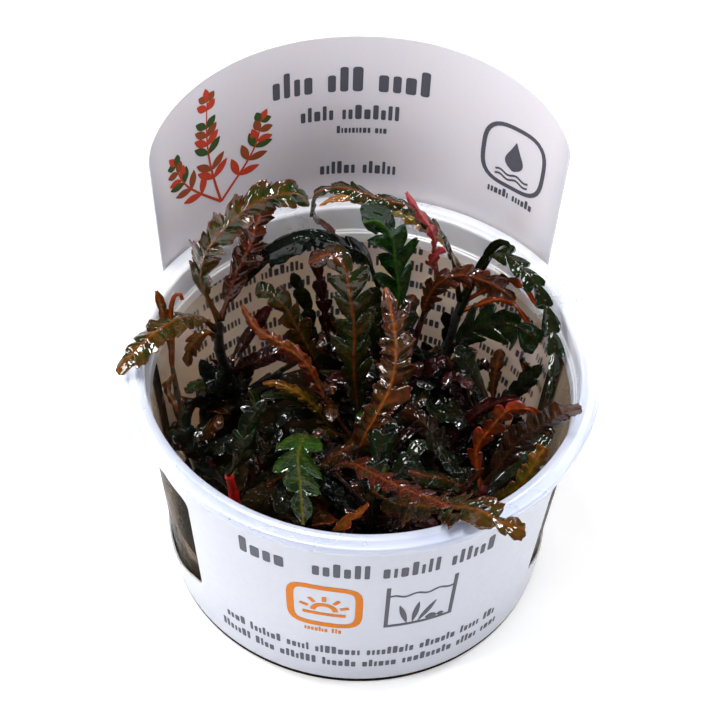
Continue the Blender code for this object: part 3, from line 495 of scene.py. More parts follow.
class Paint:
    """A Principled material and the few calls that its nodes need."""

    def __init__(self, name, **values):
        self.material = bpy.data.materials.new(name)
        self.material.use_nodes = True
        self.tree = self.material.node_tree
        self.shader = self.tree.nodes["Principled BSDF"]
        self.places = {}
        for key, value in values.items():
            socket = self.shader.inputs[key.replace("_", " ")]
            color = isinstance(value, tuple) and len(socket.default_value) == 4
            socket.default_value = (*value, 1.0) if color else value

    def node(self, kind, settings=None, **links):
        """A node; settings are its own properties, and links its inputs as sockets or values."""
        made = self.tree.nodes.new("ShaderNode" + kind)
        for key, value in (settings or {}).items():
            setattr(made, key, value)
        for key, value in links.items():
            socket = made.inputs[int(key[1:])] if key[0] == "i" and key[1:].isdigit() else made.inputs[key]
            if isinstance(value, bpy.types.NodeSocket):
                self.tree.links.new(value, socket)
            else:
                socket.default_value = value
        return made

    def place(self, squeeze):
        """Object coordinates in millimetres, squeezed along each axis."""
        if squeeze not in self.places:
            spot = self.node("TexCoord").outputs["Object"]
            made = self.node("Mapping", i0=spot, i3=tuple(value / MM for value in squeeze))
            self.places[squeeze] = made.outputs[0]
        return self.places[squeeze]

    def noise(self, scale, detail=3.0, low=0.0, high=1.0, squeeze=EVEN):
        """Noise in the object's space that runs from low to high."""
        made = self.node("TexNoise", Vector=self.place(squeeze), Scale=scale, Detail=detail)
        return self.node("MapRange", i0=made.outputs[0], i1=0.3, i2=0.7, i3=low, i4=high).outputs[0]

    def tone(self):
        return self.node("VertexColor", {"layer_name": "tone"}).outputs[0]

    def mix(self, share, first, second, kind="MIX"):
        made = self.node("Mix", {"data_type": "RGBA", "blend_type": kind}, i0=share)
        for socket, value in ((made.inputs[6], first), (made.inputs[7], second)):
            if isinstance(value, bpy.types.NodeSocket):
                self.tree.links.new(value, socket)
            else:
                socket.default_value = (*value, 1.0)
        return made.outputs[2]

    def tint(self, color, shade):
        """A colour multiplied by another, or by a grey."""
        return self.mix(1.0, color, shade, "MULTIPLY")

    def times(self, first, second):
        return self.node("Math", {"operation": "MULTIPLY"}, i0=first, i1=second).outputs[0]

    def bump(self, height, distance, strength, onto=None):
        made = self.node("Bump", Height=height, Distance=distance * MM, Strength=strength)
        if onto:
            self.tree.links.new(onto, made.inputs["Normal"])
        return made.outputs[0]

    def drive(self, color, roughness, **others):
        """Link nodes to the shader's colour and roughness, and to other inputs by name."""
        for key, value in {"Base_Color": color, "Roughness": roughness, **others}.items():
            self.tree.links.new(value, self.shader.inputs[key.replace("_", " ")])
        return self.material


def leaf_skin():
    """Wet leaf skin: mottled, finely veined, with a glossy film of water that breaks into streaks."""
    paint = Paint("leaf_skin", IOR=1.35, Specular_IOR_Level=0.05, Coat_Weight=1.0, Coat_Roughness=0.04,
                  Coat_IOR=1.48)
    mottle = paint.noise(0.9, 4.0, 0.4, 0.85)
    fine = paint.noise(4.0, 2.0, 0.86, 1.12)
    shade = paint.times(mottle, fine)
    deep = paint.node("Gamma", i0=paint.tone(), i1=1.34).outputs[0]
    color = paint.tint(deep, shade)
    cells = paint.node("TexVoronoi", {"feature": "DISTANCE_TO_EDGE"}, Vector=paint.place(EVEN), Scale=1.6)
    veins = paint.node("MapRange", i0=cells.outputs[0], i1=0.0, i2=0.12, i3=0.0, i4=1.0).outputs[0]
    color = paint.mix(paint.times(veins, 0.25), color, paint.mix(0.35, color, srgb(14, 16, 12)))
    rough = paint.noise(0.7, 3.0, 0.38, 0.6)
    film = paint.bump(paint.noise(0.6, 2.0), 0.2, 0.5)
    normal = paint.bump(veins, 0.06, 0.5, onto=film)
    coat = paint.bump(paint.noise(0.42, 1.5), 0.26, 0.6)
    return paint.drive(color, rough, Normal=normal, Coat_Normal=coat)


def stem_skin():
    """Dark wet stem skin with fine streaks along it."""
    paint = Paint("stem_skin", Coat_Weight=0.5, Coat_Roughness=0.12)
    streaks = paint.noise(1.6, 4.0, 0.6, 1.5, STEM_STREAKS)
    color = paint.tint(paint.tone(), streaks)
    rough = paint.noise(1.2, 3.0, 0.25, 0.5)
    normal = paint.bump(streaks, 0.12, 0.6)
    return paint.drive(color, rough, Normal=normal)


def card_skin():
    """Coated white card with faint fibre and handling haze."""
    paint = Paint("card", Coat_Weight=0.12, Coat_Roughness=0.3, Subsurface_Weight=1.0,
                  Subsurface_Radius=(1.0, 0.86, 0.7), Subsurface_Scale=0.5 * MM)
    fibre = paint.noise(2.2, 5.0, 0.975, 1.01, CARD_FIBRE)
    haze = paint.noise(0.035, 2.0, 0.98, 1.0)
    color = paint.tint(paint.tone(), paint.times(fibre, haze))
    rough = paint.noise(0.6, 4.0, 0.42, 0.56)
    normal = paint.bump(paint.noise(3.0, 5.0), 0.02, 0.35)
    return paint.drive(color, rough, Normal=normal)


def ink_skin():
    """Flat printing ink, a little uneven."""
    paint = Paint("ink", Specular_IOR_Level=0.08)
    color = paint.tint(paint.tone(), paint.noise(2.5, 4.0, 0.9, 1.08))
    return paint.drive(color, paint.noise(1.0, 3.0, 0.4, 0.55))


def wall_skin():
    """Thin clear moulded plastic with faint upright flow marks."""
    paint = Paint("clear_plastic", IOR=1.15, Transmission_Weight=1.0)
    flow = paint.noise(0.16, squeeze=UPRIGHT)
    color = paint.mix(flow, (1.0, 0.99, 0.98), (0.94, 0.93, 0.92))
    normal = paint.bump(flow, 0.5, 0.25)
    haze = paint.noise(0.4, 4.0, 0.08, 0.2)
    return paint.drive(color, haze, Normal=normal)


def window_skin():
    """The wall in the windows, painted brown in upright streaks: painted shade, with the colour of the
    leaves, roots and gel behind it.
    """
    paint = Paint("bloomed_plastic", IOR=1.015, Transmission_Weight=0.92)
    streaks = paint.noise(0.16, squeeze=UPRIGHT)
    color = paint.mix(streaks, WINDOW_PAINTED_SHADE_DARK, WINDOW_PAINTED_SHADE_BROWN)
    haze = paint.noise(0.2, 3.0, 0.08, 0.3)
    normal = paint.bump(streaks, 0.3, 0.3)
    return paint.drive(color, haze, Normal=normal)


def rim_skin():
    """The rim and mouth of the same plastic, milky with a bluish cast, under a painted shade from the
    vertex tone that darkens it towards the front.
    """
    paint = Paint("milky_rim", IOR=1.46, Transmission_Weight=0.6, Coat_Weight=0.2, Coat_Roughness=0.12)
    color = paint.mix(paint.noise(0.08), (0.94, 0.95, 0.98), (0.84, 0.87, 0.94))
    color = paint.tint(color, paint.tone())
    haze = paint.noise(0.1, 3.0, 0.24, 0.34)
    normal = paint.bump(paint.noise(0.08, 2.0), 0.05, 0.1)
    return paint.drive(color, haze, Normal=normal)


def gel_skin():
    """Dark brown set gel, cloudy with small bits and beaded with moisture."""
    paint = Paint("nutrient_gel", IOR=1.34, Specular_IOR_Level=0.03, Coat_Weight=0.06, Coat_Roughness=0.05)
    bits = paint.noise(0.7, 5.0, 0.5, 1.4)
    color = paint.mix(paint.noise(0.12), srgb(18, 14, 8), srgb(42, 32, 18))
    color = paint.tint(color, bits)
    normal = paint.bump(paint.noise(0.3), 0.4, 0.5)
    beads = paint.bump(paint.noise(0.9, 1.0), 0.3, 0.6)
    rough = paint.noise(0.6, 3.0, 0.45, 0.7)
    return paint.drive(color, rough, Normal=normal, Coat_Normal=beads)


def floor_skin():
    """Plain pale studio paper, lit from behind where it is far from the object."""
    paint = Paint("floor_paper", Specular_IOR_Level=0.1, Emission_Color=(1.0, 1.0, 1.0))
    color = paint.mix(paint.noise(0.02), srgb(240, 240, 241), srgb(246, 246, 247))
    away = paint.node("VectorMath", {"operation": "LENGTH"}, i0=paint.node("TexCoord").outputs["Object"])
    glow = paint.node("MapRange", {"interpolation_type": "SMOOTHSTEP"}, i0=away.outputs["Value"], i1=0.4,
                      i2=1.6, i3=0.3, i4=0.88).outputs[0]
    return paint.drive(color, paint.noise(0.1, 3.0, 0.7, 0.85), Emission_Strength=glow)


# Cup

def wall_outside(height):
    return WALL_BASE_RADIUS + WALL_TAPER * height


def wall_inside(height):
    return wall_outside(height) - WALL_THICKNESS


def cup_profile():
    """Once round the cup's section, from the middle of its floor out, up, over the lip and back under."""
    corner = FLOOR_HEIGHT + FLOOR_ROUND
    inner = [(0.0, FLOOR_HEIGHT)]
    inner += arc((wall_inside(corner) - FLOOR_ROUND, corner), FLOOR_ROUND, -90, 0)
    for height in (20.0, 34.0, 47.5):
        inner.append((wall_inside(height), height))
    ledge = wall_inside(LEDGE_HEIGHT)
    inner += arc((ledge + LIP_ROUND, LEDGE_HEIGHT - 0.5), LIP_ROUND, 180, 100, 4)
    inner += arc((MOUTH_RADIUS - 0.5, LEDGE_HEIGHT + 0.7), LIP_ROUND, -80, 0, 4)
    inner += [(MOUTH_RADIUS - 0.02, RIM_HEIGHT - 1.0)]
    inner += arc((MOUTH_RADIUS + MOUTH_ROUND, RIM_HEIGHT - MOUTH_ROUND), MOUTH_ROUND, 180, 90)
    top = [(RIM_RADIUS - 2.6, RIM_HEIGHT), (RIM_RADIUS - 2.4, RIM_HEIGHT - 0.12),
           (RIM_RADIUS - 2.1, RIM_HEIGHT - 0.12), (RIM_RADIUS - 1.9, RIM_HEIGHT)]
    lip = arc((RIM_RADIUS - LIP_ROUND, RIM_HEIGHT - LIP_ROUND), LIP_ROUND, 90, 0)
    lip += arc((RIM_RADIUS - EDGE_ROUND, RIM_HEIGHT - 1.7), EDGE_ROUND, 0, -90, 4)
    lip += arc((RIM_RADIUS - 0.5, RIM_HEIGHT - 1.7), EDGE_ROUND, -90, -180, 4)
    under = arc((RIM_RADIUS - 1.1, RIM_HEIGHT - 1.3), EDGE_ROUND, 0, 90, 4)
    under += [(wall_outside(55.0) + 0.5, RIM_HEIGHT - 1.0), (wall_outside(55.0), RIM_HEIGHT - 1.5)]
    outer = [(wall_outside(height), height) for height in (50.0, 34.0, 20.0, 3.5, 1.7)]
    foot = arc((FOOT_RADIUS + 1.1, HEEL_ROUND), HEEL_ROUND, 60, -90, 7)
    return inner + top + lip + under + outer + foot + [(FOOT_RADIUS - 3.0, 0.0), (0.0, 0.0)]


def cup_slot(place, height):
    """Which skin a face of the cup has; the foot's takes the gel's dark skin, a painted shadow line below
    the card.
    """
    if height > MILKY_FROM:
        return RIM_SLOT
    if height < SLEEVE_FOOT and sqrt(place[0] ** 2 + place[1] ** 2) > FOOT_RADIUS + 0.5:
        return FOOT_PAINTED_SHADOW_SLOT
    turn = angle_from_front(atan2(place[0], -place[1]) * 180.0 / pi)
    in_window = WINDOW_FRONT - WINDOW_MARGIN < turn < WINDOW_BACK + WINDOW_MARGIN
    return WINDOW_SLOT if in_window and height > FLOOR_HEIGHT + FLOOR_ROUND else WALL_SLOT


def turned_mesh(name, profile):
    """Turn a profile that starts and ends on the axis into a closed mesh."""
    rings = []
    for step in range(TURN_STEPS):
        turn = 2.0 * pi * step / TURN_STEPS
        rings.append([(radius * cos(turn), radius * sin(turn), height) for radius, height in profile])
    shell = Shell()
    count = len(profile) - 2
    for ring in rings:
        shell.vertices.extend(ring[1:-1])
    for step in range(TURN_STEPS):
        low = step * count
        following = ((step + 1) % TURN_STEPS) * count
        for index in range(count - 1):
            slot = cup_slot(shell.vertices[low + index], min(profile[index + 1][1], profile[index + 2][1]))
            shell.add_face([low + index, following + index, following + index + 1, low + index + 1], slot)
    ends = len(shell.vertices)
    shell.vertices.extend([rings[0][0], rings[0][-1]])
    for step in range(TURN_STEPS):
        low = step * count
        following = ((step + 1) % TURN_STEPS) * count
        shell.add_face([ends, following, low], WALL_SLOT)
        shell.add_face([ends + 1, low + count - 1, following + count - 1], WALL_SLOT)
    # Painted shade: the cup's vertex tone darkens and cools towards the front; only the rim's skin uses it.
    shell.tones = [blend_color(RIM_FRONT_PAINTED_SHADE, RIM_BACK, smooth_step(0.5 + place[1] / 60.0))
                   for place in shell.vertices]
    return shell.mesh(name, sharp=42)


def make_cup():
    mesh = turned_mesh("cup_shell", cup_profile())
    # The fourth skin, the gel's, is a painted shadow on the foot below the card.
    cup = add_object("cup_shell", mesh, wall_skin(), rim_skin(), window_skin(), gel_skin())
    seat(cup, "clear_plastic", "cup")


# Sleeve

def angle_from_front(angle):
    return abs((angle + 180.0) % 360.0 - 180.0)


def angle_from_header(angle):
    return abs((angle - HEADER_TURN) % 360.0 - 180.0)


def header_height(angle):
    """The header's top edge: level in the middle and rounded off at its corners."""
    across = min(angle_from_header(angle) / HEADER_HALF, 1.0)
    round_off = 1.0 - (1.0 - across ** HEADER_CORNER_POWER) ** (1.0 / HEADER_CORNER_POWER)
    return HEADER_TOP - HEADER_CORNER_DROP * round_off


def sleeve_radius(angle, height):
    """Inner face: close to the wall, flared at the back to pass outside the flange."""
    hugging = wall_outside(min(height, BAND_TOP)) + GAP
    standing = RIM_RADIUS + HEADER_CLEARANCE
    fade = 1.0 - smooth_step((angle_from_header(angle) - HEADER_HALF) / FLARE_FADE)
    rise = min(max((height - FLARE_START) / (BAND_TOP - FLARE_START), 0.0), 1.0)
    flared = hugging + (standing - hugging) * fade * rise
    return flared + tan(radians(HEADER_LEAN)) * max(0.0, height - BAND_TOP)


def card_point(angle, height, lift):
    """A point on the sleeve's inner face, or that far outside it."""
    radius = sleeve_radius(angle, height) + lift
    return (radius * sin(radians(angle)), -radius * cos(radians(angle)), height)


def corner_rise(angle):
    """How far a window's rounded corners cut in at an angle."""
    per_degree = radians(wall_outside(30.0))
    turn = angle_from_front(angle)
    inside = max(min(turn - WINDOW_FRONT, WINDOW_BACK - turn), 0.0) * per_degree
    short = max(WINDOW_CORNER - inside, 0.0)
    return WINDOW_CORNER - sqrt(WINDOW_CORNER ** 2 - short ** 2)


def sleeve_heights(angle):
    """Rows of the sleeve's grid at an angle: up to the sill, the windows' top, the band's top and
    the header's."""
    drop = smooth_step((angle_from_front(angle) - WINDOW_FRONT) / SILL_RUN)
    sill = SILL_FRONT - (SILL_FRONT - SILL_BACK) * drop + corner_rise(angle)
    top = WINDOW_TOP - corner_rise(angle)
    edge = max(header_height(angle), BAND_TOP + 1.0)
    heights = []
    for low, high, steps in ((SLEEVE_FOOT, sill, SILL_ROWS), (sill, top, WINDOW_ROWS),
                             (top, BAND_TOP, BAND_ROWS), (BAND_TOP, edge, HEADER_ROWS)):
        heights += between(low, high, steps)[:-1]
    return heights + [edge]


def sleeve_angles():
    """Columns of the sleeve's grid, crowded at the windows' edges and the header's corners."""
    middle = 180.0 + HEADER_TURN
    stops = [-WINDOW_BACK, -WINDOW_FRONT, WINDOW_FRONT, WINDOW_BACK, middle - HEADER_HALF,
             middle + HEADER_HALF, 360.0 - WINDOW_BACK]
    angles = []
    for start, end in zip(stops, stops[1:]):
        count = max(4, ceil((end - start) / COLUMN_WIDTH))
        angles += [start + (end - start) * (1.0 - cos(pi * step / count)) / 2.0 for step in range(count)]
    return angles


def card_tone(angle, inside, height):
    """White with a lilac cast, and painted light and shade: greyer and cooler at the front, darker on the
    header's outer face, and lighter and warmer on the inner face low down behind the plants.
    """
    behind = smooth_step((62.0 - angle_from_header(angle)) / 10.0)
    header = srgb(*(HEADER_INSIDE if inside else HEADER_OUTSIDE_PAINTED_SHADE))
    # Painted shade: greyer at the front and darker on the header's outer face.
    tone = blend_color(srgb(*CARD_FRONT_PAINTED_SHADE), header, behind)
    low = smooth_step((58.0 - height) / 6.0)
    # Painted light: the inner face low down is lighter and warmer.
    return blend_color(tone, srgb(*BEHIND_PLANTS_PAINTED_LIGHT), low) if inside else tone


def make_sleeve():
    angles = sleeve_angles()
    inner, outer = [[[card_point(angle, height, lift) for height in sleeve_heights(angle)]
                     for angle in angles] for lift in (0.0, CARD_THICKNESS)]
    tones = [[[card_tone(angle, inside, height) for height in sleeve_heights(angle)] for angle in angles]
             for inside in (True, False)]

    def keep(column, row):
        following = angles[column + 1] if column + 1 < len(angles) else angles[0] + 360.0
        middle = (angles[column] + following) / 2.0
        above_sill = row - SILL_ROWS
        in_window = (WINDOW_FRONT < angle_from_front(middle) < WINDOW_BACK
                     and 0 <= above_sill < WINDOW_ROWS)
        over_band = above_sill >= WINDOW_ROWS + BAND_ROWS and angle_from_header(middle) > HEADER_HALF
        return not in_window and not over_band

    shell = Shell()
    shell.add_sheet(inner, outer, tones[0], keep, wrap=True, back_tones=tones[1])
    sleeve = add_object("sleeve_card", shell.mesh("sleeve_card", sharp=40), card_skin())
    seat(sleeve, "printed_card", "sleeve")


# Print

INK_GREY = srgb(76, 76, 84)
INK_ORANGE = srgb(180, 99, 0)
INK_RED = srgb(172, 62, 44)
INK_GREEN = srgb(58, 74, 42)
INK_LIFT = 0.05
INK_ROOT = 0.05
INK_STEP = 1.4

# The printed faces: the angle of the middle, the way and the radius at which millimetres across
# are measured round from it, and whether it is the card's outer face.
FRONT = (0.0, 1.0, 44.0, True)
BACK = (180.0, -1.0, 44.0, False)
HEADER = (180.0, -1.0, 50.0, False)
HEADER_BACK = (180.0, -1.0, 50.0, True)


def ring_points(middle, radius, start=0.0, end=360.0, squareness=2.0, steps=48):
    """Points round a circle, or round a rounded square where squareness is more than 2."""
    points = []
    for angle in between(start, end, steps):
        bulge = abs(cos(radians(angle))) ** squareness + abs(sin(radians(angle))) ** squareness
        points.append(around(middle, radius / bulge ** (1.0 / squareness), angle))
    return points


def line_points(start, end, steps=8):
    return list(zip(between(start[0], end[0], steps), between(start[1], end[1], steps)))


class Ink(Shell):
    """Thin raised ink on one face of the card, placed in millimetres across and up."""

    def __init__(self, face):
        super().__init__()
        self.face = face

    def point(self, across, height, lift):
        middle, way, radius, outside = self.face
        angle = middle + way * across / radians(1.0) / radius
        return card_point(angle, height, CARD_THICKNESS + lift if outside else -lift)

    def add_stroke(self, points, halves, tone=INK_GREY):
        """A band along the points, given its half width, or a list with one for each point."""
        if not isinstance(halves, list):
            halves = [halves] * len(points)
        front, back = [], []
        for index, (across, height) in enumerate(points):
            before, after = points[max(index - 1, 0)], points[min(index + 1, len(points) - 1)]
            run, rise = after[0] - before[0], after[1] - before[1]
            half = halves[index] / sqrt(run * run + rise * rise)
            spots = [(across + side * rise * half, height - side * run * half) for side in (-1, 0, 1)]
            front.append([self.point(*spot, INK_LIFT) for spot in spots])
            back.append([self.point(*spot, -INK_ROOT) for spot in spots])
        self.add_sheet(front, back, [[tone] * 3] * len(points))

    def add_tile(self, start, end, height, half, tone):
        """A level bar with rounded corners."""
        corner = min(half * 0.25, (end - start) * 0.3)
        count = max(1, ceil((end - start - 2.0 * corner) / INK_STEP))
        inner = [start + corner + (end - start - 2.0 * corner) * step / count for step in range(count + 1)]
        stops = (start, start + corner * 0.4, *inner, end - corner * 0.4, end)
        halves = [half - corner * 0.8, half - corner * 0.2] + [half] * len(inner)
        halves += [half - corner * 0.2, half - corner * 0.8]
        self.add_stroke([(across, height) for across in stops], halves, tone)

    def add_bars(self, start, end, base, size, seed, tone=INK_GREY, wide=1.0):
        """A line of bars in the rhythm of words, which stands where the real card has words."""
        draw = random.Random(seed)
        across = start
        while across < end - size:
            for _ in range(draw.randint(3, 9)):
                width = size * draw.uniform(0.15, 0.34) * wide
                if across + width > end:
                    break
                half = 0.5 * size * (0.88 if draw.random() < 0.28 else 0.6)
                self.add_tile(across, across + width, base + half, half, tone)
                across += width + size * 0.13
            across += size * 0.34

    def add_petal(self, base, angle, length, half, tone=INK_GREY):
        """A pointed oval."""
        halves = [half * max(sin(pi * step / 8.0) ** 0.8, 0.08) for step in range(9)]
        self.add_stroke(line_points(base, around(base, length, angle)), halves, tone)

    def add_wave(self, left, length, height, swing, steps, half):
        self.add_stroke([(left + length * step / steps, height + swing * sin(step * pi / 4.0))
                         for step in range(steps + 1)], half)

    def add_sprig(self, base):
        """A generic sprig: three bowed stems with paired oval leaves."""
        for tip, bow, pairs in (((-41.0, 79.0), 3.0, 6), ((-31.5, 90.0), 1.5, 8), ((-19.5, 80.0), -3.0, 6)):
            points = []
            for step in range(13):
                share = step / 12.0
                sway = bow * sin(pi * share)
                points.append((base[0] + (tip[0] - base[0]) * share - sway,
                               base[1] + (tip[1] - base[1]) * share + abs(sway) * 0.3))
            self.add_stroke(points, [0.34 - 0.02 * step for step in range(13)], INK_RED)
            lean = atan2(tip[1] - base[1], tip[0] - base[0]) * 180.0 / pi
            for pair in range(pairs):
                spot = points[3 + round(9.0 * pair / (pairs - 1))]
                length = 5.2 - 2.6 * pair / (pairs - 1)
                tone = blend_color(INK_RED, INK_GREEN, (pair % 3) / 2.0)
                for side in (-1, 1):
                    self.add_petal(spot, lean + side * 48.0, length, 0.95, tone)
            self.add_petal(points[-1], lean, 3.2, 0.8, INK_RED)

    def add_drop_badge(self, across, height):
        """A generic ring with a drop and two ripples."""
        self.add_stroke(ring_points((across, height), 7.6, squareness=3.2), 0.5)
        drop = [(across, height - 3.2 + 7.4 * step / 10.0) for step in range(11)]
        self.add_stroke(drop, [0.3, 1.5, 2.1, 2.3, 2.2, 1.9, 1.5, 1.1, 0.75, 0.4, 0.1])
        for level in (-4.4, -5.6):
            self.add_wave(across - 4.2, 8.4, height + level, 0.35, 16, 0.24)

    def add_sun_badge(self, across, height):
        """A generic orange frame round a rising sun."""
        sun = (across, height - 1.6)
        self.add_stroke(ring_points((across, height), 7.0, squareness=5.0), 0.75, INK_ORANGE)
        self.add_stroke(ring_points(sun, 2.3, 0.0, 180.0, steps=16), 0.55, INK_ORANGE)
        self.add_tile(across - 4.4, across + 4.4, height - 2.9, 0.5, INK_ORANGE)
        for angle in (20, 55, 90, 125, 160):
            ray = line_points(around(sun, 3.5, angle), around(sun, 5.3, angle), 3)
            self.add_stroke(ray, 0.42, INK_ORANGE)

    def add_tank_badge(self, across, height):
        """A generic open tank with a water line, three blades of grass and two pebbles."""
        left, right, low, high = across - 6.9, across + 6.9, height - 7.4, height + 7.4
        for side in (left, right):
            self.add_stroke(line_points((side, high), (side, low)), 0.42)
        self.add_stroke(line_points((left - 0.42, low), (right + 0.42, low), 12), 0.42)
        self.add_wave(left, 13.8, height + 3.9, 0.4, 24, 0.26)
        for offset, lean in ((-2.6, 104.0), (-1.4, 82.0), (-0.2, 62.0)):
            self.add_petal((across + offset, low + 0.5), lean, 7.4, 0.6)
        for offset, radius in ((2.6, 1.3), (4.6, 0.8)):
            self.add_petal((across + offset - radius, low + 1.1), 0.0, 2.0 * radius, radius * 0.8)

    def add_piece(self, name, skin):
        seat(add_object(name, self.mesh(name, sharp=40), skin), "printed_card")


def make_print(skin):
    """The ink on the card. Bars and plain badges stand where the real card has words and pictures."""
    front = Ink(FRONT)
    front.add_bars(-27.6, -15.0, 42.4, 6.0, 3)
    front.add_bars(-12.6, 27.6, 42.6, 5.4, 11, wide=0.8)
    front.add_sun_badge(-10.3, 30.9)
    front.add_bars(-14.4, -6.0, 20.9, 1.9, 5, INK_ORANGE)
    front.add_tank_badge(9.2, 31.3)
    front.add_bars(-33.6, 30.2, 12.3, 3.2, 21)
    front.add_bars(-35.2, 31.0, 7.4, 3.2, 34)
    front.add_piece("print_front", skin)
    header = Ink(HEADER)
    header.add_bars(-16.4, 22.6, 84.2, 7.0, 8)
    header.add_bars(-10.4, 15.8, 77.0, 4.2, 16)
    header.add_bars(-2.6, 9.0, 73.4, 2.2, 2)
    header.add_bars(-6.2, 10.8, 62.5, 3.8, 44)
    header.add_sprig((-30.0, 63.0))
    header.add_drop_badge(37.4, 76.2)
    header.add_bars(32.0, 43.6, 65.4, 2.4, 12)
    header.add_piece("print_header", skin)
    back = Ink(BACK)
    back.add_bars(-37.0, 20.0, 41.6, 3.4, 31)
    for line in range(6):
        back.add_bars(-38.0, 56.0, 36.9 - 4.7 * line, 3.0, 70 + line)
    back.add_piece("print_inside", skin)
    reverse = Ink(HEADER_BACK)
    reverse.add_bars(14.0, 44.0, 76.6, 4.4, 51)
    reverse.add_bars(16.0, 42.0, 70.6, 4.8, 63)
    reverse.add_piece("print_reverse", skin)


# Gel

def make_gel():
    """Set gel with an uneven top that climbs a little at the wall and at each stem."""
    feet = [route[1] for _, _, _, route in STEMS.values()]
    reach = wall_inside(GEL_TOP) - GEL_CLEARANCE
    top, bottom, tones = [], [], []
    for step in range(GEL_COLUMNS):
        turn = 2.0 * pi * step / GEL_COLUMNS
        top_row, bottom_row = [], []
        for index in range(GEL_RINGS + 1):
            radius = reach * sin(0.5 * pi * index / GEL_RINGS)
            spot = (radius * cos(turn), radius * sin(turn))
            rise = GEL_WAVE * noise.noise(Vector((*spot, 0.0)) * 0.12)
            rise += GEL_CLIMB * exp(-(reach - radius) / WALL_CLIMB_RUN)
            rise += sum(GEL_CLIMB * exp(-(Vector(spot) - Vector(foot[:2])).length / STEM_CLIMB_RUN)
                        for foot in feet)
            top_row.append((*spot, GEL_TOP - GEL_CLIMB + rise))
            low = FLOOR_HEIGHT + GAP + 2.0 * bump_at(radius, reach, 1.2)
            bottom_row.append((spot[0] * 0.985, spot[1] * 0.985, low))
        top.append(top_row)
        bottom.append(bottom_row)
        tones.append([(1.0, 1.0, 1.0)] * (GEL_RINGS + 1))
    shell = Shell()
    shell.add_sheet(top, bottom, tones, wrap=True)
    seat(add_object("gel_bed", shell.mesh("gel_bed", sharp=50), gel_skin()), "nutrient_gel", "gel")


# Paths

def catmull_point(before, start, end, after, t):
    """A point on the smooth curve between start and end."""
    return 0.5 * ((2.0 * start) + (end - before) * t
                  + (2.0 * before - 5.0 * start + 4.0 * end - after) * t * t
                  + (3.0 * start - before - 3.0 * end + after) * t * t * t)


def smooth_path(points, count):
    """Evenly spaced places along a smooth curve through the points."""
    spots = [Vector(point) for point in points]
    spots = [2.0 * spots[0] - spots[1]] + spots + [2.0 * spots[-1] - spots[-2]]
    fine = []
    for index in range(1, len(spots) - 2):
        for step in range(CURVE_STEPS):
            fine.append(catmull_point(*spots[index - 1:index + 3], step / CURVE_STEPS))
    fine.append(spots[-2])
    lengths = [0.0]
    for start, end in zip(fine, fine[1:]):
        lengths.append(lengths[-1] + (end - start).length)
    path = []
    place = 0
    for index in range(count + 1):
        target = lengths[-1] * index / count
        while place < len(fine) - 2 and lengths[place + 1] < target:
            place += 1
        share = (target - lengths[place]) / (lengths[place + 1] - lengths[place])
        path.append(fine[place].lerp(fine[place + 1], share))
    return path, lengths[-1]


def square_to(vector, tangent):
    return (vector - vector.dot(tangent) * tangent).normalized()


def leaf_frames(points, face, twist):
    """Places, tangents and upper-side normals along a leaf's midrib, and its length."""
    path, length = smooth_path(points, PATH_SAMPLES)
    tangents = [(path[min(index + 1, PATH_SAMPLES)] - path[max(index - 1, 0)]).normalized()
                for index in range(PATH_SAMPLES + 1)]
    middle = PATH_SAMPLES // 2
    normals = [None] * (PATH_SAMPLES + 1)
    normals[middle] = square_to(Vector(face), tangents[middle])
    for index in range(middle, PATH_SAMPLES):
        normals[index + 1] = square_to(normals[index], tangents[index + 1])
    for index in range(middle, 0, -1):
        normals[index - 1] = square_to(normals[index], tangents[index - 1])
    for index, tangent in enumerate(tangents):
        turn = radians(twist) * (index / PATH_SAMPLES - 0.5)
        normals[index] = Matrix.Rotation(turn, 3, tangent) @ normals[index]
    return path, tangents, normals, length


def stem_point(stem, height):
    """The place and direction of a stem's axis at a height, and whether that is its top."""
    path, _ = smooth_path(STEMS[stem][3], PATH_SAMPLES)
    index = min(range(PATH_SAMPLES + 1), key=lambda number: abs(path[number].z - height))
    above = path[min(index + 1, PATH_SAMPLES)]
    below = path[max(index - 1, 0)]
    return path[index], (above - below).normalized(), index == PATH_SAMPLES


# Leaves

LOBE_LEAN = 1.35
LOBE_JITTER = 0.16
LOBE_SIZES = (0.66, 1.12)
LOBE_LIFTS = (-0.6, 1.0)
LOBE_LEANS = (0.75, 1.3)
LOBE_STATIONS = 14
HOLE_SPAN = (0.15, 0.44)
STALK_STATIONS = 8
TIP_HALF = 0.35
BLADE_THICKNESS = 0.13
RIB_THICKNESS = 0.3
RIB_WIDTH = 0.42
VEIN_AT = 0.55
RAGGED = 0.15
CRISP_RAGGED = 0.45
CRISP_CURL = 1.6
FULL_BUCKLE = 2.5
# Painted shade: leaf colours darken towards black near the gel, to this share of their colour at its top,
# fading out over the run above.
LOW_SHADE = 0.05
SHADE_RUN = 38.0


def blade_envelope(along, fullness, skew):
    """Share of the full half width along the blade."""
    skewed = along ** skew
    return max(4.0 * skewed * (1.0 - skewed), 0.0) ** fullness


def leaf_stations(lobes, draw):
    """Share of the blade, lobe and share of the lobe at each station, crowded at the notches."""
    notches = [0.0] + [(lobe + draw.uniform(-LOBE_JITTER, LOBE_JITTER)) / lobes for lobe in range(1, lobes)]
    notches.append(1.0)
    stations = []
    for lobe in range(lobes):
        for step in range(LOBE_STATIONS):
            phase = (1.0 - cos(pi * step / LOBE_STATIONS)) / 2.0
            stations.append((notches[lobe] + (notches[lobe + 1] - notches[lobe]) * phase, lobe, phase))
    return stations + [(1.0, lobes - 1, 1.0)]


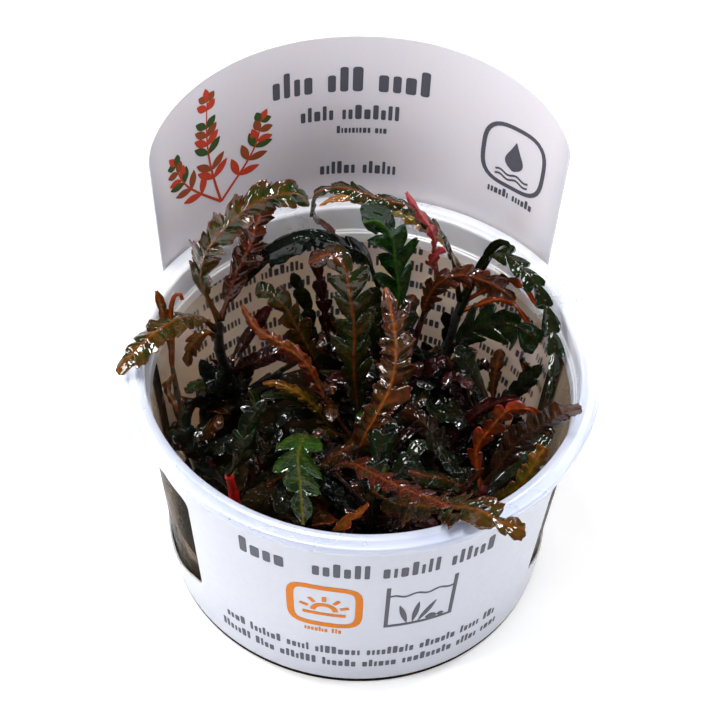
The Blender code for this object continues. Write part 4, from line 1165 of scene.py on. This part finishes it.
def leaf_route(spec, on_axis):
    """The midrib's points, from the stem's axis or from just outside the stem."""
    base, direction, on_top = stem_point(spec.stem, spec.height)
    outward = Vector(spec.route[0]) - base
    if not on_axis and not on_top:
        base = base + square_to(outward, direction) * STEMS[spec.stem][0] * 0.6
    return [base] + [Vector(point) for point in spec.route]


def sample(values, position):
    """A value between the samples; beyond the last one it runs straight on."""
    if position > len(values) - 1:
        return values[-1] + (values[-1] - values[-2]) * (position - len(values) + 1)
    index = min(max(int(position), 0), len(values) - 2)
    return values[index].lerp(values[index + 1], position - index)


def add_leaf(shell, spec, on_axis=False, slot=0, columns=ACROSS):
    """Loft one blade: lobed, swept forward, each lobe arched on its vein, with a rib beneath."""
    draw = random.Random(spec.name)
    path, tangents, normals, length = leaf_frames(leaf_route(spec, on_axis), spec.face, spec.twist)
    lobes, depth = spec.lobes, spec.depth
    sizes, lifts, leans = [{side: [draw.uniform(*limits) for _ in range(lobes)] for side in (-1, 1)}
                           for limits in (LOBE_SIZES, LOBE_LIFTS, LOBE_LEANS)]
    phase_of = {side: draw.uniform(0.0, 2.0 * pi) for side in (-1, 1)}
    colors = [srgb(*color) for color in PAINTS[spec.paint][1:]]
    blade_tone, patch_tone, margin_tone, rib_tone, tip_tone = colors
    foot = max(0.62 * STEMS[spec.stem][0] - STALK_HALF, 0.0) if length > 14.0 else 0.0
    top, bottom, tones = [], [], []
    stalk = [(step / STALK_STATIONS - 1.0, 0, 0.0) for step in range(STALK_STATIONS)]
    stations = stalk + leaf_stations(lobes, draw)
    for blade, lobe, phase in stations:
        along = STALK_SHARE + blade * (STALK_SHARE if blade < 0.0 else 1.0 - STALK_SHARE)
        blade = max(blade, 0.0)
        on_blade = smooth_step(blade * 10.0)
        swell = sin(pi * phase ** LOBE_LEAN) ** spec.bluntness if 0.0 < phase < 1.0 else 0.0
        rows = ([], [], [])
        for across in columns:
            side = -1 if across < 0.0 else 1
            envelope = spec.width * blade_envelope(blade, spec.fullness, spec.skew)
            envelope *= sizes[side][lobe] ** on_blade
            ragged = noise.noise(Vector((blade * length * 0.8, side * 7.0, phase_of[side])))
            envelope *= 1.0 + (RAGGED + CRISP_RAGGED * spec.crisp) * ragged * on_blade
            narrow = STALK_HALF + (TIP_HALF - STALK_HALF) * blade
            narrow += foot * (1.0 - min(along / STALK_SHARE, 1.0)) ** 2
            reach = max(envelope * (1.0 - depth * (1.0 - swell)), narrow)
            out = abs(across) * reach
            ahead = spec.sweep * leans[side][lobe] * (1.0 - 0.5 * blade) * out * on_blade
            position = (along + ahead / length) * PATH_SAMPLES
            nearest = min(round(position), PATH_SAMPLES)
            tangent, normal = tangents[nearest], normals[nearest]
            room = min(reach / FULL_BUCKLE, 1.0) * on_blade
            lift = spec.fold * out * on_blade
            lift += spec.ruffle * room * across ** 2 * sin(pi * blade * lobes + phase_of[side])
            outer = smooth_step(abs(across) * 2.2)
            arch = sin(pi * phase) - 0.5 - 0.4 * bump_at(phase, VEIN_AT, 0.08)
            lift += spec.pucker * room * arch * outer * (0.7 + 0.3 * lifts[side][lobe])
            lift += 0.4 * room * (phase - 0.5) * outer
            lift += 0.32 * out * abs(across) ** 2 * lifts[side][lobe] * on_blade
            spot = sample(path, position)
            lift += room * (0.2 * noise.noise(spot * 0.7) + 0.1 * noise.noise(spot * 1.9))
            curl = noise.noise(Vector((blade * length * 0.9, side * 3.0 + across, phase_of[side])))
            lift += CRISP_CURL * spec.crisp * room * outer * curl
            middle = spot + tangent.cross(normal) * (side * out) + normal * lift
            rib = exp(-(out / RIB_WIDTH) ** 2)
            round_stalk = narrow * sqrt(max(1.0 - across ** 2, 0.02))
            above = BLADE_THICKNESS * (1.0 - 0.5 * abs(across)) + 0.12 * rib * (1.0 - blade)
            below = BLADE_THICKNESS * (1.0 - 0.5 * abs(across)) + RIB_THICKNESS * rib * (1.0 - 0.7 * blade)
            above = round_stalk + (above - round_stalk) * on_blade
            below = round_stalk + (below - round_stalk) * on_blade
            rows[0].append(middle + normal * above)
            rows[1].append(middle - normal * below)
            around = spot * 0.35 + Vector((side * out, lift, 3.0)) * 0.5
            tone = blend_color(blade_tone, patch_tone, smooth_step(0.5 + 2.0 * noise.noise(around)))
            tone = blend_color(tone, margin_tone, 0.6 * smooth_step(3.0 * noise.noise(around * 1.7) - 0.2))
            toward_tip = (along - spec.tip_from) / (1.0 - spec.tip_from)
            tone = blend_color(tone, tip_tone, smooth_step(toward_tip))
            tone = blend_color(tone, margin_tone, 0.85 * smooth_step((abs(across) - 0.7) / 0.3))
            vein = bump_at(phase, VEIN_AT, 0.09) * (1.0 - abs(across)) * 0.55 * on_blade
            tone = blend_color(tone, rib_tone, max(0.9 * exp(-(out / 0.3) ** 2), vein))
            # Painted shade: the colour darkens towards black near the gel.
            shade = LOW_SHADE + (1.0 - LOW_SHADE) * smooth_step((spot.z - GEL_TOP) / SHADE_RUN)
            rows[2].append(blend_color(BLACK, tone, shade))
        for grid, row in zip((top, bottom, tones), rows):
            grid.append(row)

    def keep(row, column):
        middle = (columns[column] + columns[column + 1]) / 2.0
        return not any(start < stations[row][0] < end and HOLE_SPAN[0] < side * middle < HOLE_SPAN[1]
                       for start, end, side in spec.holes)

    shell.add_sheet(top, bottom, tones, keep, slot=slot)


def make_leaf(spec, skin):
    shell = Shell()
    add_leaf(shell, spec)
    blade = add_object(spec.name + "_blade", shell.mesh(spec.name + "_blade"), skin)
    seat(blade, PAINTS[spec.paint][0], spec.name)


# Stems

STEM_SLOT, LEAF_SLOT = range(2)
STEM_RINGS = 56
STEM_SIDES = 14
NODE_SPACING = 8.5
NODE_SWELL = 0.16
STEM_TAPER = 0.35
TIP_FROM = 0.93
TIP_RUN = 0.071
CLEARING = (-27.0, -13.0)
CLEARING_REACH = 8.0
SHOOTS = 13
BARE_STEM = "stem_left_front"
SHOOT_HEIGHT = 13.0
SHOOT_TOP = 31.0
SHOOT_TOP_BEHIND = 24.0
SHOOT_REACH = (6.0, 18.0)
SHOOT_HALF = (1.7, 3.3)
LOW_PAINTS = ("dark", "blue_dark", "maroon", "dark", "bronze", "dark_orange_rib", "blue_dark", "dark",
              "fresh")


def low_shoots(stem, count):
    """Small leaves low on a stem, too small to be solids of their own, none in the clearing."""
    draw = random.Random(stem)
    route = STEMS[stem][3]
    shoots = []
    for index in range(count):
        top = SHOOT_TOP_BEHIND if route[0][1] > 15 else SHOOT_TOP
        height = draw.uniform(SHOOT_HEIGHT, min(route[-1][2] - 2.0, top))
        turn = draw.uniform(0.0, 2.0 * pi)
        reach = draw.uniform(*SHOOT_REACH)
        base, _, _ = stem_point(stem, height)
        points = []
        for share, climb in ((0.45, 0.5), (0.8, 0.85), (1.0, 0.9)):
            spot = Vector((base.x + cos(turn) * reach * share, base.y + sin(turn) * reach * share, 0.0))
            limit = wall_inside(height) - 3.0
            if spot.length > limit:
                spot *= limit / spot.length
            points.append((spot.x, spot.y, height + reach * climb * draw.uniform(0.7, 1.0)))
        shoots.append(leaf(f"{stem}_shoot_{index}", stem, height, points, draw.uniform(*SHOOT_HALF),
                           LOW_PAINTS[draw.randrange(len(LOW_PAINTS))], lobes=draw.randint(2, 4),
                           depth=draw.uniform(0.2, 0.5), face=UPWARDS))
    return [shoot for shoot in shoots
            if (Vector(shoot.route[-1][:2]) - Vector(CLEARING)).length > CLEARING_REACH]


def make_stem(name, skins, shoot_count):
    """A ringed stem with its young leaves in one piece."""
    radius, foot_tone, top_tone, route = STEMS[name]
    path, length = smooth_path(route, STEM_RINGS)
    rings, tones = [], []
    for index, place in enumerate(path):
        along = index / STEM_RINGS
        tangent = (path[min(index + 1, STEM_RINGS)] - path[max(index - 1, 0)]).normalized()
        side = square_to(Vector((1.0, 0.0, 0.0)), tangent)
        other = tangent.cross(side)
        joint = abs((along * length / NODE_SPACING) % 1.0 - 0.5) * 2.0
        swell = 1.0 - STEM_TAPER * along * along + NODE_SWELL * bump_at(joint, 1.0, 0.16)
        swell *= sqrt(max(1.0 - (max(along - TIP_FROM, 0.0) / TIP_RUN) ** 2, 0.02))
        ring = []
        for step in range(STEM_SIDES):
            turn = 2.0 * pi * step / STEM_SIDES
            reach = radius * swell * (1.0 + 0.05 * noise.noise(place * 0.6 + Vector((step, 0.0, 0.0))))
            ring.append(place + (side * cos(turn) + other * sin(turn)) * reach)
        rings.append(ring)
        # Where a stem's foot tone is the darker one, the darkening towards the gel is painted shade.
        tones.append(blend_color(foot_tone, top_tone, smooth_step((place.z - 12.0) / 16.0)))
    shell = Shell()
    shell.add_tube(rings, tones, STEM_SLOT)
    for spec in YOUNG_LEAVES + SMALL_LEAVES:
        if spec.stem == name:
            add_leaf(shell, spec, on_axis=True, slot=LEAF_SLOT)
    for spec in low_shoots(name, shoot_count):
        add_leaf(shell, spec, on_axis=True, slot=LEAF_SLOT, columns=ACROSS[::2])
    seat(add_object(name + "_shoot", shell.mesh(name + "_shoot"), *skins), "stem_skin", name)


# Studio

# The floor's section, as radius and height.
COVE = ((0.0, 0.0), (2.2, 0.0), (2.5, 0.03), (2.75, 0.12), (2.93, 0.27), (3.0, 0.45), (3.0, 0.75))
COVE_STEPS = 72
WORLD_GLOW = 0.06
LIGHT_AIM = (0.0, 0.0, 0.05)

# Each light: its place, its size and its power.
LIGHTS = {
    "overhead_box": ((-0.03, -0.03, 0.78), (0.22, 0.09), 0.9),
    "glint_box": ((-0.1, 0.03, 0.62), (0.24, 0.08), 4.2),
    "left_glint": ((-0.32, 0.12, 0.5), (0.07, 0.16), 1.0),
    "right_glint": ((0.3, 0.1, 0.52), (0.07, 0.16), 0.9),
    "front_glint": ((0.06, -0.3, 0.58), (0.16, 0.06), 0.3),
    "left_box": ((-0.62, -0.16, 0.36), (0.2, 0.26), 3.2),
    "right_box": ((0.62, -0.12, 0.36), (0.16, 0.24), 1.6),
}


def make_floor():
    """A sheet of paper that turns up all round, far behind the object."""
    turns = [2.0 * pi * step / COVE_STEPS for step in range(COVE_STEPS)]
    places = [(radius * cos(turn), radius * sin(turn), height) for radius, height in COVE[1:]
              for turn in turns]
    faces = [list(range(COVE_STEPS))]
    for level in range(len(COVE) - 2):
        for step in range(COVE_STEPS):
            low = level * COVE_STEPS
            following = low + (step + 1) % COVE_STEPS
            faces.append([low + step, following, following + COVE_STEPS, low + step + COVE_STEPS])
    mesh = bpy.data.meshes.new("floor")
    mesh.from_pydata(places, [], faces)
    mesh.shade_smooth()
    mesh.set_sharp_from_angle(angle=radians(40.0))
    add_object("floor", mesh, floor_skin())


def make_light(name, place, size, power):
    light = bpy.data.lights.new(name, "AREA")
    light.shape = "RECTANGLE"
    light.size, light.size_y = size
    light.energy = power
    item = bpy.data.objects.new(name, light)
    item.location = place
    item.rotation_euler = (Vector(LIGHT_AIM) - Vector(place)).to_track_quat("-Z", "Y").to_euler()
    bpy.context.scene.collection.objects.link(item)


def make_studio():
    world = bpy.data.worlds.new("white_tent")
    world.use_nodes = True
    background = world.node_tree.nodes["Background"]
    background.inputs["Color"].default_value = (1.0, 1.0, 1.0, 1.0)
    background.inputs["Strength"].default_value = WORLD_GLOW
    scene = bpy.context.scene
    scene.world = world
    scene.view_settings.view_transform = "Standard"
    for name, light in LIGHTS.items():
        make_light(name, *light)
    make_floor()


def make_camera():
    turn, rise, roll = radians(CAMERA_AZIMUTH), radians(CAMERA_ELEVATION), radians(CAMERA_ROLL)
    back = Vector((sin(turn) * cos(rise), -cos(turn) * cos(rise), sin(rise)))
    level = Vector((cos(turn), sin(turn), 0.0))
    upward = back.cross(level)
    right = level * cos(roll) + upward * sin(roll)
    above = upward * cos(roll) - level * sin(roll)
    data = bpy.data.cameras.new("camera")
    data.lens = LENS
    data.sensor_width = SENSOR
    data.clip_start = 0.01
    data.dof.use_dof = False
    item = bpy.data.objects.new("camera", data)
    bpy.context.scene.collection.objects.link(item)
    place = level * CAMERA_SIDE + Vector((0.0, 0.0, CAMERA_AIM_HEIGHT)) + back * CAMERA_DISTANCE
    item.matrix_world = Matrix.Translation(place * MM) @ Matrix((right, above, back)).transposed().to_4x4()
    bpy.context.scene.camera = item


def main():
    make_camera()
    make_studio()
    make_cup()
    make_sleeve()
    make_print(ink_skin())
    make_gel()
    blade_skin = leaf_skin()
    skins = (stem_skin(), blade_skin)
    for name in STEMS:
        make_stem(name, skins, 0 if name == BARE_STEM else SHOOTS)
    for spec in LEAVES:
        make_leaf(spec, blade_skin)


main()
